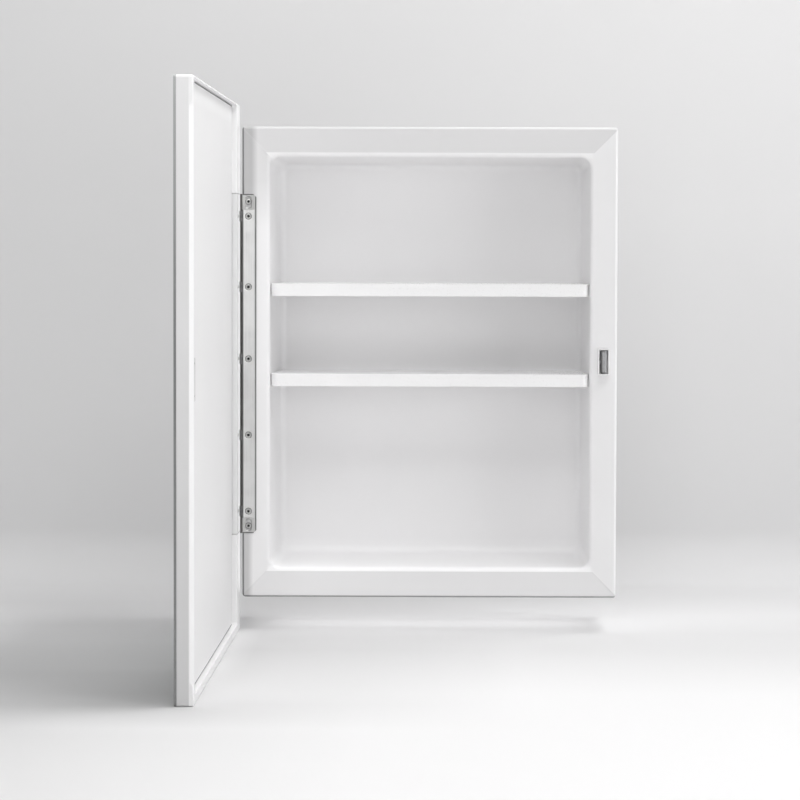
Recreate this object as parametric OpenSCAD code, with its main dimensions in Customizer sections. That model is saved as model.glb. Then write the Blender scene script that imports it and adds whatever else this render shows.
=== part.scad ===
// Mirrored medicine cabinet: a moulded, surface-mounted body with two shelves, and a
// mirrored door on a long steel hinge down its left side. The door is drawn open at a right angle.
// X runs to the right, Y into the wall and Z up. The origin is the middle of the wall face.

/* [Body] */
// Width of the body
body_w = 362; // [340:1:380]
// Height of the body
body_h = 455; // [430:1:480]
// Depth of the body from the wall to the front edge of its rim
body_d = 98; // [85:1:120]
// Thickness of the moulded walls
wall = 2.5; // [2:0.1:3.2]
// Thickness of the back, which lies on the wall of the room
back_t = 3; // [2.5:0.1:5]
// Width of the sloping rim down each side
rim_side_w = 22.6; // [21:0.1:30]
// Width of the sloping rim along the top and the bottom
rim_end_w = 24.9; // [22:0.1:34]
// Radius of the opening's corners
opening_r = 13; // [9:0.5:16]
// How far the sloping rim falls from its outer edge to the opening
rim_drop = 5.5; // [4:0.1:7]
// Radius that turns the rim into the walls of the tub
rim_r = 5; // [4:0.5:8]
// Radius along the outer front edge
edge_r = 2.6; // [0.8:0.1:3]
// Radius of the front face's four corners, inside that edge
face_corner_r = 0.5; // [0.1:0.1:2.5]
// How far each wall of the tub leans in on its way to the back
tub_draft = 3.4; // [2:0.1:5]
// Radius where the walls meet the back
back_r = 8; // [5:0.5:9]
// Radius of the four corners of the tub's flat back
back_corner_r = 1.5; // [0.5:0.5:4]

/* [Ribs and hanging holes] */
// Thickness of the ribs in the hollow between the two walls
rib_t = 2; // [1.5:0.1:3]
// How far the ribs stay short of the wall of the room
rib_setback = 4; // [2:0.5:8]
// Ribs along the top and along the bottom
ribs_across = 5; // [3:2:7]
// Ribs down each side
ribs_down = 5; // [3:2:7]
// Distance between the two hanging holes
hang_spacing = 240; // [200:5:280]
// Diameter of the round part of a hanging hole, which lets the screw's head in
hang_entry_d = 9; // [8:0.1:10]
// Width of the narrow part of a hanging hole
hang_slot_w = 5; // [4:0.1:5.5]
// Height from the round part up to where the screw comes to rest
hang_rise = 9; // [7:0.5:10]
// Width of the web that holds a hanging hole
hang_web_w = 34; // [26:1:50]

/* [Shelves] */
// Height of the upper shelf's top above the middle of the body
upper_shelf_z = 76.3; // [60:0.1:110]
// Height of the lower shelf's top above the middle of the body
lower_shelf_z = -11.1; // [-60:0.1:20]
// Height of the lip along a shelf's front
lip_h = 12.2; // [9:0.1:18]
// Thickness of the lip
lip_t = 2.6; // [2:0.1:4]
// Thickness of a shelf
shelf_t = 3; // [2.5:0.1:4]
// Radius of a shelf's front corners
shelf_r = 7; // [6:0.5:14]
// How far the lip stands behind the front edge of the body
shelf_setback = 8; // [6.5:0.5:14]
// Gap between the end of a shelf and the wall
shelf_gap = 0.3; // [0.2:0.1:1]
// Width of the ledge that a shelf rests on
ledge_w = 5; // [3:0.5:8]
// Height of that ledge
ledge_h = 4; // [3:0.5:8]

/* [Hinge] */
// Height of the hinge's middle above the middle of the body
hinge_z = -1.5; // [-10:0.1:10]
// Length of the base plate, and of the door's leaf
base_plate_h = 328; // [310:1:350]
// Width of the base plate
base_plate_w = 13.5; // [12.5:0.1:15]
// Size of the cut-off corners of the base plate
base_plate_corner = 3; // [1:0.5:4]
// Gap around the base plate in its seat
seat_gap = 0.2; // [0.1:0.05:0.4]
// How much shorter the body's leaf is than the base plate at each end
leaf_short = 15; // [13:0.5:20]
// Width of the leaf on the body
leaf_w = 11.8; // [10.8:0.1:12.4]
// Thickness of the base plate and of both leaves
leaf_t = 1.1; // [0.9:0.05:1.3]
// Diameter of the hinge pin
pin_d = 2.2; // [1.8:0.1:2.4]
// Running clearance around the pin
pin_gap = 0.05; // [0.02:0.01:0.1]
// Outer diameter of the knuckles
knuckle_d = 3.6; // [3.4:0.1:3.8]
// Length of one knuckle
knuckle_l = 3.1; // [2.5:0.1:4]
// Gap between two knuckles
knuckle_gap = 0.2; // [0.1:0.05:0.3]
// How far the pin's centre lies outside the body's side
pin_out = 1; // [0.7:0.1:1.2]
// Distance from the ends of the leaf to its end screws
end_screw_in = 6.4; // [6:0.1:10]
// Height of the upper screw from the hinge's middle
upper_screw_z = 74.5; // [60:0.5:85]
// Height of the middle screw from the hinge's middle
middle_screw_z = 5; // [-10:0.5:10]
// Height of the lower screw from the hinge's middle
lower_screw_z = -68.7; // [-85:0.1:-60]
// Distance from the body's side to the screws
screw_inset = 6; // [5.8:0.1:6.4]
// Diameter of a screw's head
head_d = 6.6; // [6:0.1:6.8]
// Diameter of a screw's shank
shank_d = 3; // [2.6:0.1:3.2]
// Length of a screw
screw_l = 9; // [8:0.5:11]
// Length of the slots in the base plate
plate_slot_l = 12.4; // [10:0.1:12.6]
// Width of the slots in the base plate
plate_slot_w = 6.6; // [6:0.1:7]
// Distance from the ends of the base plate to the middle of a slot
plate_slot_in = 8; // [7.8:0.1:8.4]
// Distance from the ends of the base plate to its own screws
plate_screw_in = 7.2; // [6.6:0.1:8.4]

/* [Catch] */
// Distance from the body's side to the middle of the catch
catch_in = 13; // [12:0.5:15]
// Height of the catch above the body's middle
catch_z = 1.6; // [-40:0.1:40]
// Width of the mouth of the catch
catch_w = 8.6; // [8:0.1:9.5]
// Height of the mouth of the catch
catch_h = 23.2; // [20:0.1:26]
// Thickness of the walls of the housing
catch_wall = 1.2; // [1:0.1:1.5]
// Depth of the housing from its mouth to its back
catch_d = 20; // [18:0.5:24]
// Thickness of the magnet
magnet_t = 2.8; // [2.4:0.1:3.2]
// Depth of the magnet
magnet_d = 12; // [10:0.5:14]
// Thickness of a pole plate
pole_t = 1.2; // [1:0.1:1.4]
// How far the pole plates stand out in front of the magnet
pole_out = 1; // [0.5:0.1:1.5]
// How far the pole plates lie behind the mouth
pole_setback = 0.6; // [0.4:0.1:1.5]
// Diameter of the pin that holds the magnet and its pole plates
catch_pin_d = 2.4; // [2:0.1:3]
// Gap between the housing and the hole it sits in
catch_gap = 0.15; // [0.1:0.05:0.3]

/* [Door] */
// How far the door and its mirror reach past each side of the body
door_side_lap = 22.2; // [16:0.1:30]
// How far they reach past the top of the body
door_top_lap = 21.5; // [10:0.1:30]
// How far they reach past the bottom of the body
door_bottom_lap = 34.3; // [10:0.1:40]
// Gap between the closed door and the front of the body
door_gap = 1.5; // [1.3:0.1:2]
// Angle of the door as drawn
door_angle = 90; // [0:1:101]
// How far the frame reaches in past the body's side at the hinge, to its step
hinge_stile_in = 7.8; // [7.3:0.1:9]
// Width of the frame at the free edge
free_stile_w = 9; // [7:0.5:14]
// Width of the frame along the top
top_rail_w = 1.7; // [1.6:0.1:6]
// Width of the frame along the bottom
bottom_rail_w = 8; // [4:0.5:12]
// How far the back panel lies below the face of the frame
panel_recess = 5; // [4.8:0.1:6]
// Thickness of the back panel
panel_t = 2; // [1.8:0.1:3]
// Gap around the back panel
panel_gap = 0.6; // [0.3:0.1:1]
// Thickness of the board between the back panel and the frame's web
board_t = 4.3; // [2:0.1:6]
// Thickness of the frame's web, behind the mirror
web_t = 2; // [1.5:0.1:3]
// Radius of the recess's corners
recess_r = 3; // [2:0.5:5]
// Radius along the door's inner edge
door_edge_r = 1.2; // [0.8:0.1:1.2]
// Radius of the corners of the door's inner face, inside that edge
door_corner_r = 0.8; // [0.5:0.1:2.5]
// Size of the finger pull cut along the free edge
pull_c = 3.2; // [2.5:0.1:5]
// Length over which the finger pull runs out at each end
pull_run = 5; // [3:0.5:10]
// Distance from the door's top to the finger pull
pull_top = 19; // [12:1:40]
// Distance from the door's bottom to the finger pull
pull_bottom = 15; // [12:1:40]

/* [Mirror] */
// Thickness of the mirror
mirror_t = 3; // [2.5:0.1:4]
// Width of the mirror's bevel
bevel_w = 12; // [8:0.5:25]
// Thickness left at the mirror's edge
bevel_edge = 2; // [1:0.1:2.4]
// Thickness of the mounting tape
tape_t = 0.7; // [0.5:0.1:1]
// Width of a strip of tape
tape_w = 25; // [15:1:40]
// Strips of tape
tape_count = 3; // [2:1:4]
// Width of the frame's rim that the mirror lies on
tape_margin = 10; // [8:1:16]

/* [Strike plate] */
// Width of the strike plate
strike_w = 12; // [10:0.5:16]
// Height of the strike plate
strike_h = 36; // [32:0.5:44]
// Thickness of the strike plate
strike_t = 2; // [1.5:0.1:2.2]
// Distance from its ends to its screws
strike_screw_in = 4.5; // [3.5:0.1:5.5]
// Diameter of a strike screw's head
strike_head_d = 4.6; // [4:0.1:5]
// Diameter of a strike screw's shank
strike_shank_d = 2.2; // [2:0.1:2.4]
// Length of a strike screw
strike_screw_l = 5.5; // [5:0.1:6]
// Gap left between the catch and the strike plate
strike_gap = 0.3; // [0.2:0.1:0.6]

/* [Hidden] */

$fn = 48;
// Segments in each rounded corner of a lofted shape
corner_steps = 8;
// Segments in each rounded edge of a lofted shape
edge_steps = 5;
// Overlap that makes two joined shapes one
eps = 0.01;
// How far a cut runs past the surface that it opens
past = 1;
// Radial clearance of a screw in its hole, and the room past its end
screw_gap = 0.05;
hole_end = 0.5;
// Bevel behind the tub's back corners, and radius inside the skirt's corners
back_bevel = 6;
skirt_in_r = 1;
// Extra thickness where the rim turns into the skirt
skirt_extra = 0.3;
// Distance from the tub's corners to the first and last ribs
rib_end = 25;
// How far a rib runs into the walls that it joins, and stays clear of the catch
rib_root = 1;
rib_to_catch = 3;
// Gap behind a shelf, and distance from its rounded corner back to its ledge
shelf_back_gap = 0.5;
ledge_start = 2;
// Thickness of a hanging web, and the space under its hole
hang_web_t = 3;
hang_margin = 2.5;
// Thickness of the hinge's pad, and the diameter of the bosses behind it
pad_t = 2;
boss_d = 8;
// Length of a boss past the end of its screw
boss_past = 3;
// How much wider a countersink is than the head of a hinge screw
sink_over = 1;
// Head of the base plate's own screws
plate_head_d = 6.2;
// Gap between the hinge pin and the plates beside it, and room round the knuckles
pin_to_plate = 0.2;
knuckle_room = 0.4;
// Radius and depth of the arc bitten out of each end of the leaf
leaf_bite_r = 14;
leaf_bite = 0.8;
// Length and width of the cross in a screw's head, as shares of the head
cross_l = 0.56;
cross_w = 0.16;
// Room above and below the pole plates, and how far they reach past the magnet there
pole_room = 0.6;
pole_over = 1;
// Stop behind the catch
stop_t = 2.5;
stop_h = 12;
// Snap lugs of the catch
lug_w = 6;
lug_out = 1;
lug_l = 3;
// Clearance of the catch's pin in its holes
catch_pin_gap = 0.1;
// Screws of the door's leaf
door_head_d = 6;
door_sink_d = 6.4;
door_screw_l = 8;
door_screw_pitch = 71;
door_screws = 4;
// Room round the door's leaf in its seat, and how far it lies below the step
leaf_room = 0.3;
leaf_lap = 0.3;
// Small edges of the door's frame, and the corners of the seat for the tape
recess_edge = 0.3;
front_edge = 0.4;
tape_seat_r = 4;
// Gap around the filler board
board_gap = 1;
// Corners and countersinks of the strike plate
strike_r = 1.5;
strike_sink_d = 5;

// Half sizes and depths of the body
half_w = body_w / 2;
half_h = body_h / 2;
front_y = -body_d;
open_w = half_w - rim_side_w;
open_h = half_h - rim_end_w;
body_r = edge_r + face_corner_r;
tub_r = back_r + back_corner_r;
flat_w = half_w - edge_r;
flat_h = half_h - edge_r;
slope_x = atan(rim_drop / (flat_w - open_w));
slope_z = atan(rim_drop / (flat_h - open_h));
open_y = front_y + rim_drop;
tub_front_w = open_w - rim_r * (1 - sin(slope_x));
tub_front_h = open_h - rim_r * (1 - sin(slope_z));
tub_back_w = tub_front_w - tub_draft;
tub_back_h = tub_front_h - tub_draft;
tub_front_y = open_y + rim_r * cos(slope_x);
tub_back_y = -back_t - back_r;
under_y = open_y + wall;
skirt_under_y = front_y + wall + skirt_extra;

// Places of the hinge
seat_y = front_y + 2 * leaf_t;
pin_x = -half_w - pin_out;
pin_y = front_y + knuckle_d / 2;
knuckle_bore_d = pin_d + 2 * pin_gap;
screw_x = -half_w + screw_inset;
leaf_h = base_plate_h - 2 * leaf_short;
end_screw_z = leaf_h / 2 - end_screw_in;
plate_slot_z = base_plate_h / 2 - plate_slot_in;
plate_screw_z = base_plate_h / 2 - plate_screw_in;
leaf_screw_z = [end_screw_z, upper_screw_z, middle_screw_z, lower_screw_z, -end_screw_z];
sink_d = head_d + sink_over;
leaf_screw_y = front_y + (sink_d - head_d) / 2 - screw_gap;
plate_screw_y = front_y + leaf_t + (plate_slot_w - plate_head_d) / 2 - screw_gap;
all_screw_z = concat(leaf_screw_z, [-plate_screw_z, plate_screw_z]);

// Places of the door in its closed position
door_x0 = -half_w - door_side_lap;
door_x1 = half_w + door_side_lap;
door_z0 = -half_h - door_bottom_lap;
door_z1 = half_h + door_top_lap;
door_r = door_edge_r + door_corner_r;
door_face_y = front_y - door_gap;
step_x = -half_w + hinge_stile_in;
free_x = door_x1 - free_stile_w;
recess_z0 = door_z0 + bottom_rail_w;
recess_z1 = door_z1 - top_rail_w;
panel_y = door_face_y - panel_recess;
board_y = panel_y - panel_t;
web_y = board_y - board_t;
tape_y = web_y - web_t;
glass_y = tape_y - tape_t;
leaf_x0 = pin_x - knuckle_d / 2;
leaf_screw_x = (leaf_x0 + step_x - leaf_lap - leaf_t) / 2;
strike_y = panel_y + strike_t;
door_screw_z = [for (i = [0:door_screws - 1])
    hinge_z + door_screw_pitch * (i - (door_screws - 1) / 2)];

// Places of the catch and the strike plate
catch_x = half_w - catch_in;
strike_screw_z = [for (side = [-1, 1]) catch_z + side * (strike_h / 2 - strike_screw_in)];
catch_y = strike_y + strike_gap;
catch_back_y = catch_y + catch_d;
catch_out_w = catch_w + 2 * catch_wall;
catch_out_h = catch_h + 2 * catch_wall;
pole_y = catch_y + pole_setback;
pole_h = catch_h - 2 * pole_room;
magnet_h = pole_h - 2 * pole_over;
magnet_y = pole_y + pole_out;
catch_pin_y = magnet_y + magnet_d / 2;
lug_y = rim_under(catch_x - lug_w / 2) + catch_gap;

// Places of the hanging holes and the shelves
hang_entry_z = tub_back_h + wall + hang_entry_d / 2 + hang_margin;
shelf_front_y = front_y + shelf_setback;
shelf_back_y = tub_back_y - shelf_back_gap;

// Depth of the rim's hidden side at a distance from the body's middle
function rim_under(x) = under_y - (under_y - skirt_under_y) * (x - tub_front_w - wall)
                                  / (half_w - 2 * wall - tub_front_w);

// Points of a rounded rectangle at depth y, as a ring that starts at its right side
function ring(x0, x1, z0, z1, r, y) = [
    for (corner = [0:3], step = [0:corner_steps])
        let (a = 90 * (corner + step / corner_steps),
             cx = corner == 0 || corner == 3 ? x1 - r : x0 + r,
             cz = corner < 2 ? z1 - r : z0 + r)
        [cx + r * cos(a), y, cz + r * sin(a)]
];

// The same ring about the body's middle, from its half width and half height
function centred_ring(w, h, r, y) = ring(-w, w, -h, h, r, y);

// How far the sloping rim has fallen at a point inside it
function rim_fall(p) = rim_drop * min((flat_w - abs(p[0])) / (flat_w - open_w),
                                      (flat_h - abs(p[2])) / (flat_h - open_h));

// How far each point of the opening's ring is pushed back. The rounded corners reach further in
// over the mitred slope than the straight sides do, so they lie deeper
rim_extra = [for (p = centred_ring(open_w, open_h, opening_r, 0)) rim_fall(p) - rim_drop];
function mitred(points, share) = [
    for (i = [0:len(points) - 1]) points[i] + [0, share * rim_extra[i], 0]
];

// A solid through a list of rings that runs from its back face to its front face
module loft(rings) {
    n = len(rings[0]);
    last = len(rings) - 1;
    polyhedron(
        points = [for (one = rings) each one],
        faces = [
            [for (i = [0:n - 1]) i],
            [for (i = [n - 1:-1:0]) last * n + i],
            for (k = [0:last - 1], i = [0:n - 1])
                let (j = (i + 1) % n)
                each [[k * n + i, (k + 1) * n + i, (k + 1) * n + j],
                      [k * n + i, (k + 1) * n + j, k * n + j]]
        ]
    );
}

// An outline drawn in X and Z and given a thickness from y towards the room
module slab(y, thickness) {
    translate([0, y, 0]) rotate([90, 0, 0]) linear_extrude(thickness) children();
}

// A rectangle with rounded corners, drawn in X and Z
module rounded_box_outline(x0, x1, z0, z1, r) {
    hull() for (x = [x0 + r, x1 - r], z = [z0 + r, z1 - r]) translate([x, z]) circle(r, $fn = 32);
}

// A cylinder along Y from y towards the wall of the room
module rod_y(x, y, z, d, length, d_far = -1) {
    translate([x, y, z]) rotate([-90, 0, 0])
        cylinder(d1 = d, d2 = d_far < 0 ? d : d_far, h = length);
}

// A piece of the door, turned about the hinge pin from closed to the angle it is drawn at
module open_door() {
    translate([pin_x, pin_y, 0]) rotate(-door_angle) translate([-pin_x, -pin_y, 0]) children();
}

// Rings of the moulded shell: up the outside of the tub, out along the back of the rim, round
// the skirt, and down the sloping rim into the tub
function shell_rings() = [
    centred_ring(tub_back_w + wall - back_bevel, tub_back_h + wall - back_bevel,
                 tub_r + wall - back_bevel, 0),
    centred_ring(tub_back_w + wall, tub_back_h + wall, tub_r + wall, -back_bevel),
    centred_ring(tub_front_w + wall, tub_front_h + wall, tub_r + wall, under_y),
    centred_ring(half_w - wall, half_h - wall, skirt_in_r, skirt_under_y),
    centred_ring(half_w - wall, half_h - wall, skirt_in_r, 0),
    centred_ring(half_w, half_h, body_r, 0),
    for (k = [0:edge_steps])
        let (a = 90 * k / edge_steps, inset = edge_r * (1 - cos(a)))
        centred_ring(half_w - inset, half_h - inset, body_r - inset,
                     front_y + edge_r * (1 - sin(a))),
    for (k = [edge_steps:-1:0])
        let (share = k / edge_steps)
        mitred(centred_ring(tub_front_w + rim_r * (1 - cos(share * (90 - slope_x))),
                            tub_front_h + rim_r * (1 - cos(share * (90 - slope_z))),
                            tub_r + share * (opening_r - tub_r),
                            tub_front_y - rim_r * sin(share * (90 - slope_x))), share),
    for (k = [0:edge_steps])
        let (a = 90 * k / edge_steps, inset = back_r * (1 - cos(a)))
        centred_ring(tub_back_w - inset, tub_back_h - inset, tub_r - inset,
                     tub_back_y + back_r * sin(a))
];

// Half width of the tub at depth y
function tub_half(y) = tub_back_w + tub_draft * (tub_back_y - y) / (tub_back_y - tub_front_y);

// A rib's outline across the hollow between tub and skirt, as points of depth and distance
function rib_points(tub_back, tub_front, open, outside) = [
    [-rib_setback, tub_back + wall / 2], [under_y + rib_root, tub_front + wall / 2],
    [under_y - rib_root, open], [skirt_under_y - rib_root, outside - wall / 2],
    [-rib_setback, outside - wall / 2]
];

module rib_above(x) {
    translate([x - rib_t / 2, 0, 0]) rotate([90, 0, 90]) linear_extrude(rib_t)
        polygon(rib_points(tub_back_h, tub_front_h, open_h, half_h));
}

module rib_beside(z) {
    translate([0, 0, z - rib_t / 2]) linear_extrude(rib_t)
        polygon([for (p = rib_points(tub_back_w, tub_front_w, open_w, half_w)) [p[1], p[0]]]);
}

// Ribs stand beside each hanging hole and in the middle of the top, and evenly elsewhere, but
// none stands on the right where the catch is
module ribs() {
    for (side = [-1, 1], end = [-1, 1])
        rib_above(side * hang_spacing / 2 + end * (hang_web_w - rib_t) / 2);
    rib_above(0);
    for (i = [0:ribs_across - 1])
        mirror([0, 0, 1]) rib_above((tub_back_w - rib_end) * (2 * i / (ribs_across - 1) - 1));
    for (i = [0:ribs_down - 1])
        let (z = (tub_back_h - rib_end) * (2 * i / (ribs_down - 1) - 1)) {
            mirror([1, 0, 0]) rib_beside(z);
            if (abs(z - catch_z) > catch_out_h / 2 + rib_t / 2 + rib_to_catch) rib_beside(z);
        }
}

// The webs behind the top of the body, and the holes in them that hang it on two screws
module hanging_webs() {
    for (side = [-1, 1])
        translate([side * hang_spacing / 2 - hang_web_w / 2, -hang_web_t, tub_back_h + wall / 2])
            cube([hang_web_w, hang_web_t, half_h - tub_back_h - wall]);
}

module hanging_holes() {
    for (side = [-1, 1]) translate([side * hang_spacing / 2, 0, hang_entry_z]) {
        rod_y(0, -hang_web_t - past, 0, hang_entry_d, hang_web_t + 2 * past);
        rod_y(0, -hang_web_t - past, hang_rise, hang_slot_w, hang_web_t + 2 * past);
        translate([-hang_slot_w / 2, -hang_web_t - past, 0])
            cube([hang_slot_w, hang_web_t + 2 * past, hang_rise]);
    }
}

// The ledges that a shelf rests on, one on each side wall
module ledges(shelf_z) {
    y0 = shelf_front_y + shelf_r + ledge_start;
    y1 = -back_t / 2;
    translate([0, 0, shelf_z - shelf_t - ledge_h]) linear_extrude(ledge_h)
        for (side = [-1, 1])
            polygon([[side * (tub_half(y0) + wall / 2), y0], [side * (tub_back_w + wall / 2), y1],
                     [side * (tub_back_w - ledge_w), y1], [side * (tub_half(y0) - ledge_w), y0]]);
}

// Outline of the base plate, with a margin around it
module base_plate_outline(margin) {
    x0 = pin_x + pin_d / 2 + pin_to_plate - margin;
    x1 = -half_w + base_plate_w + margin;
    h = base_plate_h / 2 + margin;
    c = base_plate_corner;
    polygon([[x0, hinge_z - h], [x1 - c, hinge_z - h], [x1, hinge_z - h + c],
             [x1, hinge_z + h - c], [x1 - c, hinge_z + h], [x0, hinge_z + h]]);
}

// The flat pad that carries the hinge on the sloping rim
module hinge_pad() {
    intersection() {
        slab(seat_y + pad_t, pad_t) base_plate_outline(seat_gap);
        translate([-half_w + edge_r, front_y, -half_h]) cube([body_w, body_d, body_h]);
    }
}

// The bosses behind the pad that the hinge's screws are driven into
module hinge_bosses() {
    boss_y = seat_y + pad_t / 2;
    for (z = all_screw_z)
        rod_y(screw_x, boss_y, hinge_z + z, boss_d, plate_screw_y + screw_l + boss_past - boss_y);
}

// The seat of the base plate, open to the side of the body, and the holes for the screws
module hinge_cuts() {
    seat_h = base_plate_h + 2 * seat_gap;
    hole_y = seat_y - past;
    slab(seat_y, body_d) base_plate_outline(seat_gap);
    translate([-body_w, front_y - past, hinge_z - seat_h / 2])
        cube([body_w - half_w + 2 * edge_r, seat_y - front_y + past, seat_h]);
    translate([pin_x, pin_y, hinge_z - seat_h / 2])
        cylinder(d = knuckle_d + 2 * knuckle_room, h = seat_h);
    for (z = all_screw_z)
        rod_y(screw_x, hole_y, hinge_z + z, shank_d + 2 * screw_gap,
              plate_screw_y + screw_l + hole_end - hole_y);
    for (z = [-plate_screw_z, plate_screw_z])
        rod_y(screw_x, plate_screw_y, hinge_z + z, plate_head_d + 2 * screw_gap,
              plate_head_d / 2 + screw_gap, eps);
}

// The stop behind the catch, between the tub and the skirt
module catch_stop() {
    translate([tub_half(catch_back_y) + wall / 2, catch_back_y, catch_z - stop_h / 2])
        cube([half_w - tub_half(catch_back_y) - wall, stop_t, stop_h]);
}

// The hole in the rim that takes the catch
module catch_cut() {
    translate([catch_x - catch_out_w / 2 - catch_gap, catch_y,
               catch_z - catch_out_h / 2 - catch_gap])
        cube([catch_out_w + 2 * catch_gap, catch_d, catch_out_h + 2 * catch_gap]);
}

module cabinet_shell() {
    color([0.93, 0.93, 0.94]) difference() {
        union() {
            loft(shell_rings());
            ribs();
            hanging_webs();
            ledges(upper_shelf_z);
            ledges(lower_shelf_z);
            hinge_pad();
            hinge_bosses();
            catch_stop();
        }
        hanging_holes();
        hinge_cuts();
        catch_cut();
    }
}

// Outline of a shelf seen from above, set in from its front and sides by a margin
function shelf_corner(side, margin) =
    let (cy = shelf_front_y + shelf_r, cx = tub_half(cy) - shelf_gap - shelf_r)
    [for (k = [0:corner_steps]) let (a = 90 * (side > 0 ? k : corner_steps - k) / corner_steps)
        [side * (cx + (shelf_r - margin) * sin(a)), cy - (shelf_r - margin) * cos(a)]];
function shelf_points(margin) = concat(
    shelf_corner(-1, margin), shelf_corner(1, margin),
    [[tub_half(shelf_back_y) - shelf_gap - margin, shelf_back_y],
     [-tub_half(shelf_back_y) + shelf_gap + margin, shelf_back_y]]);

module shelf(z) {
    color([0.96, 0.96, 0.96]) {
        translate([0, 0, z - shelf_t]) linear_extrude(shelf_t) polygon(shelf_points(0));
        translate([0, 0, z - lip_h]) linear_extrude(lip_h - shelf_t / 2) difference() {
            intersection() {
                polygon(shelf_points(0));
                translate([-body_w / 2, shelf_front_y - past]) square([body_w, shelf_r + past]);
            }
            polygon(shelf_points(lip_t));
        }
    }
}

module upper_shelf() { shelf(upper_shelf_z); }

module lower_shelf() { shelf(lower_shelf_z); }

// A countersunk screw along Y: its flat head is at depth y, and a cross is cut into it
module screw(x, y, z, head, shank, length) {
    cone = (head - shank) / 2;
    difference() {
        union() {
            rod_y(x, y, z, head, cone, shank);
            rod_y(x, y, z, shank, length - shank);
            rod_y(x, y + length - shank, z, shank, shank, shank / 4);
        }
        translate([x, y - eps, z]) for (a = [45, 135]) rotate([0, a, 0])
            translate([-head * cross_l / 2, 0, -head * cross_w / 2])
                cube([head * cross_l, cone / 2, head * cross_w]);
    }
}

module hinge_base_plate() {
    color([0.72, 0.72, 0.70]) difference() {
        slab(seat_y, leaf_t) base_plate_outline(0);
        for (z = leaf_screw_z) {
            sink(z, seat_y);
            knuckle_clearance(z);
        }
        for (side = [-1, 1]) hull() for (end = [-1, 1])
            rod_y(screw_x, front_y + leaf_t - eps,
                  hinge_z + side * plate_slot_z + end * (plate_slot_l - plate_slot_w) / 2,
                  plate_slot_w, leaf_t + 2 * eps, plate_slot_w - 2 * leaf_t);
    }
}

// The countersink that a hinge screw sits in, cut as far as y
module sink(z, y) {
    rod_y(screw_x, front_y, hinge_z + z, sink_d, sink_d / 2, eps);
    rod_y(screw_x, front_y - past, hinge_z + z, shank_d + 2 * screw_gap, y - front_y + 2 * past);
}

// The gap in the base plate beside the three knuckles at a screw
module knuckle_clearance(z) {
    h = 3 * knuckle_l + 4 * knuckle_gap;
    translate([pin_x, pin_y, hinge_z + z - h / 2]) cylinder(d = knuckle_d + 2 * pin_to_plate, h = h);
}

// One knuckle rolled round the pin
module knuckle(z) {
    translate([pin_x, pin_y, z - knuckle_l / 2]) cylinder(d = knuckle_d, h = knuckle_l);
}

module pin_bore() {
    translate([pin_x, pin_y, hinge_z - base_plate_h / 2 - past])
        cylinder(d = knuckle_bore_d, h = base_plate_h + 2 * past);
}

module body_leaf() {
    x0 = pin_x + pin_d / 2 + pin_to_plate;
    knuckle_rise = knuckle_l + knuckle_gap;
    color([0.78, 0.78, 0.77]) difference() {
        union() {
            slab(front_y + leaf_t, leaf_t) difference() {
                leaf_outline(x0, -half_w + leaf_w);
                for (z = leaf_screw_z) translate([x0 - past, hinge_z + z - 3 * knuckle_rise / 2])
                    square([(knuckle_d - pin_d) / 2 + knuckle_gap + past, 3 * knuckle_rise]);
            }
            for (z = leaf_screw_z, end = [-1, 1])
                let (zk = hinge_z + z + end * knuckle_rise) {
                    knuckle(zk);
                    translate([pin_x, front_y, zk - knuckle_l / 2])
                        cube([knuckle_d, leaf_t, knuckle_l]);
                }
        }
        for (z = leaf_screw_z) sink(z, front_y + leaf_t);
        pin_bore();
    }
}

// The leaf's long outline, with a shallow arc bitten out of each end for the plate's screws
module leaf_outline(x0, x1) {
    h = leaf_h / 2;
    difference() {
        translate([x0, hinge_z - h]) square([x1 - x0, 2 * h]);
        for (side = [-1, 1])
            translate([screw_x, hinge_z + side * (h + leaf_bite_r - leaf_bite)])
                circle(r = leaf_bite_r);
    }
}

module hinge_pin() {
    color([0.35, 0.35, 0.35])
        translate([pin_x, pin_y, hinge_z - base_plate_h / 2]) cylinder(d = pin_d, h = base_plate_h);
}

module body_leaf_screws() {
    color([0.6, 0.6, 0.6]) for (z = leaf_screw_z)
        screw(screw_x, leaf_screw_y, hinge_z + z, head_d, shank_d, screw_l);
}

module base_plate_screws() {
    color([0.6, 0.6, 0.6]) for (side = [-1, 1])
        screw(screw_x, plate_screw_y, hinge_z + side * plate_screw_z,
              plate_head_d, shank_d, screw_l);
}

// The catch: a plastic housing, and a magnet between two steel plates held by a cross pin
module catch_housing() {
    color([0.95, 0.95, 0.95]) difference() {
        union() {
            translate([catch_x - catch_out_w / 2, catch_y, catch_z - catch_out_h / 2])
                cube([catch_out_w, catch_d, catch_out_h]);
            for (side = [-1, 1]) catch_lug(side);
        }
        translate([catch_x - catch_w / 2, catch_y - past, catch_z - catch_h / 2])
            cube([catch_w, catch_d - catch_wall + past, catch_h]);
        catch_pin_hole();
    }
}

// A snap lug above or below the housing, which grips behind the rim
module catch_lug(side) {
    root = side * (catch_out_h / 2 - eps);
    translate([catch_x - lug_w / 2, 0, catch_z]) rotate([90, 0, 90]) linear_extrude(lug_w)
        polygon([[lug_y, root], [lug_y, root + side * lug_out], [lug_y + lug_l, root]]);
}

module catch_pin_hole() {
    translate([catch_x - catch_out_w / 2 - past, catch_pin_y, catch_z]) rotate([0, 90, 0])
        cylinder(d = catch_pin_d + 2 * catch_pin_gap, h = catch_out_w + 2 * past);
}

module catch_magnet() {
    color([0.25, 0.25, 0.27]) difference() {
        translate([catch_x - magnet_t / 2, magnet_y, catch_z - magnet_h / 2])
            cube([magnet_t, magnet_d, magnet_h]);
        catch_pin_hole();
    }
}

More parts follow.
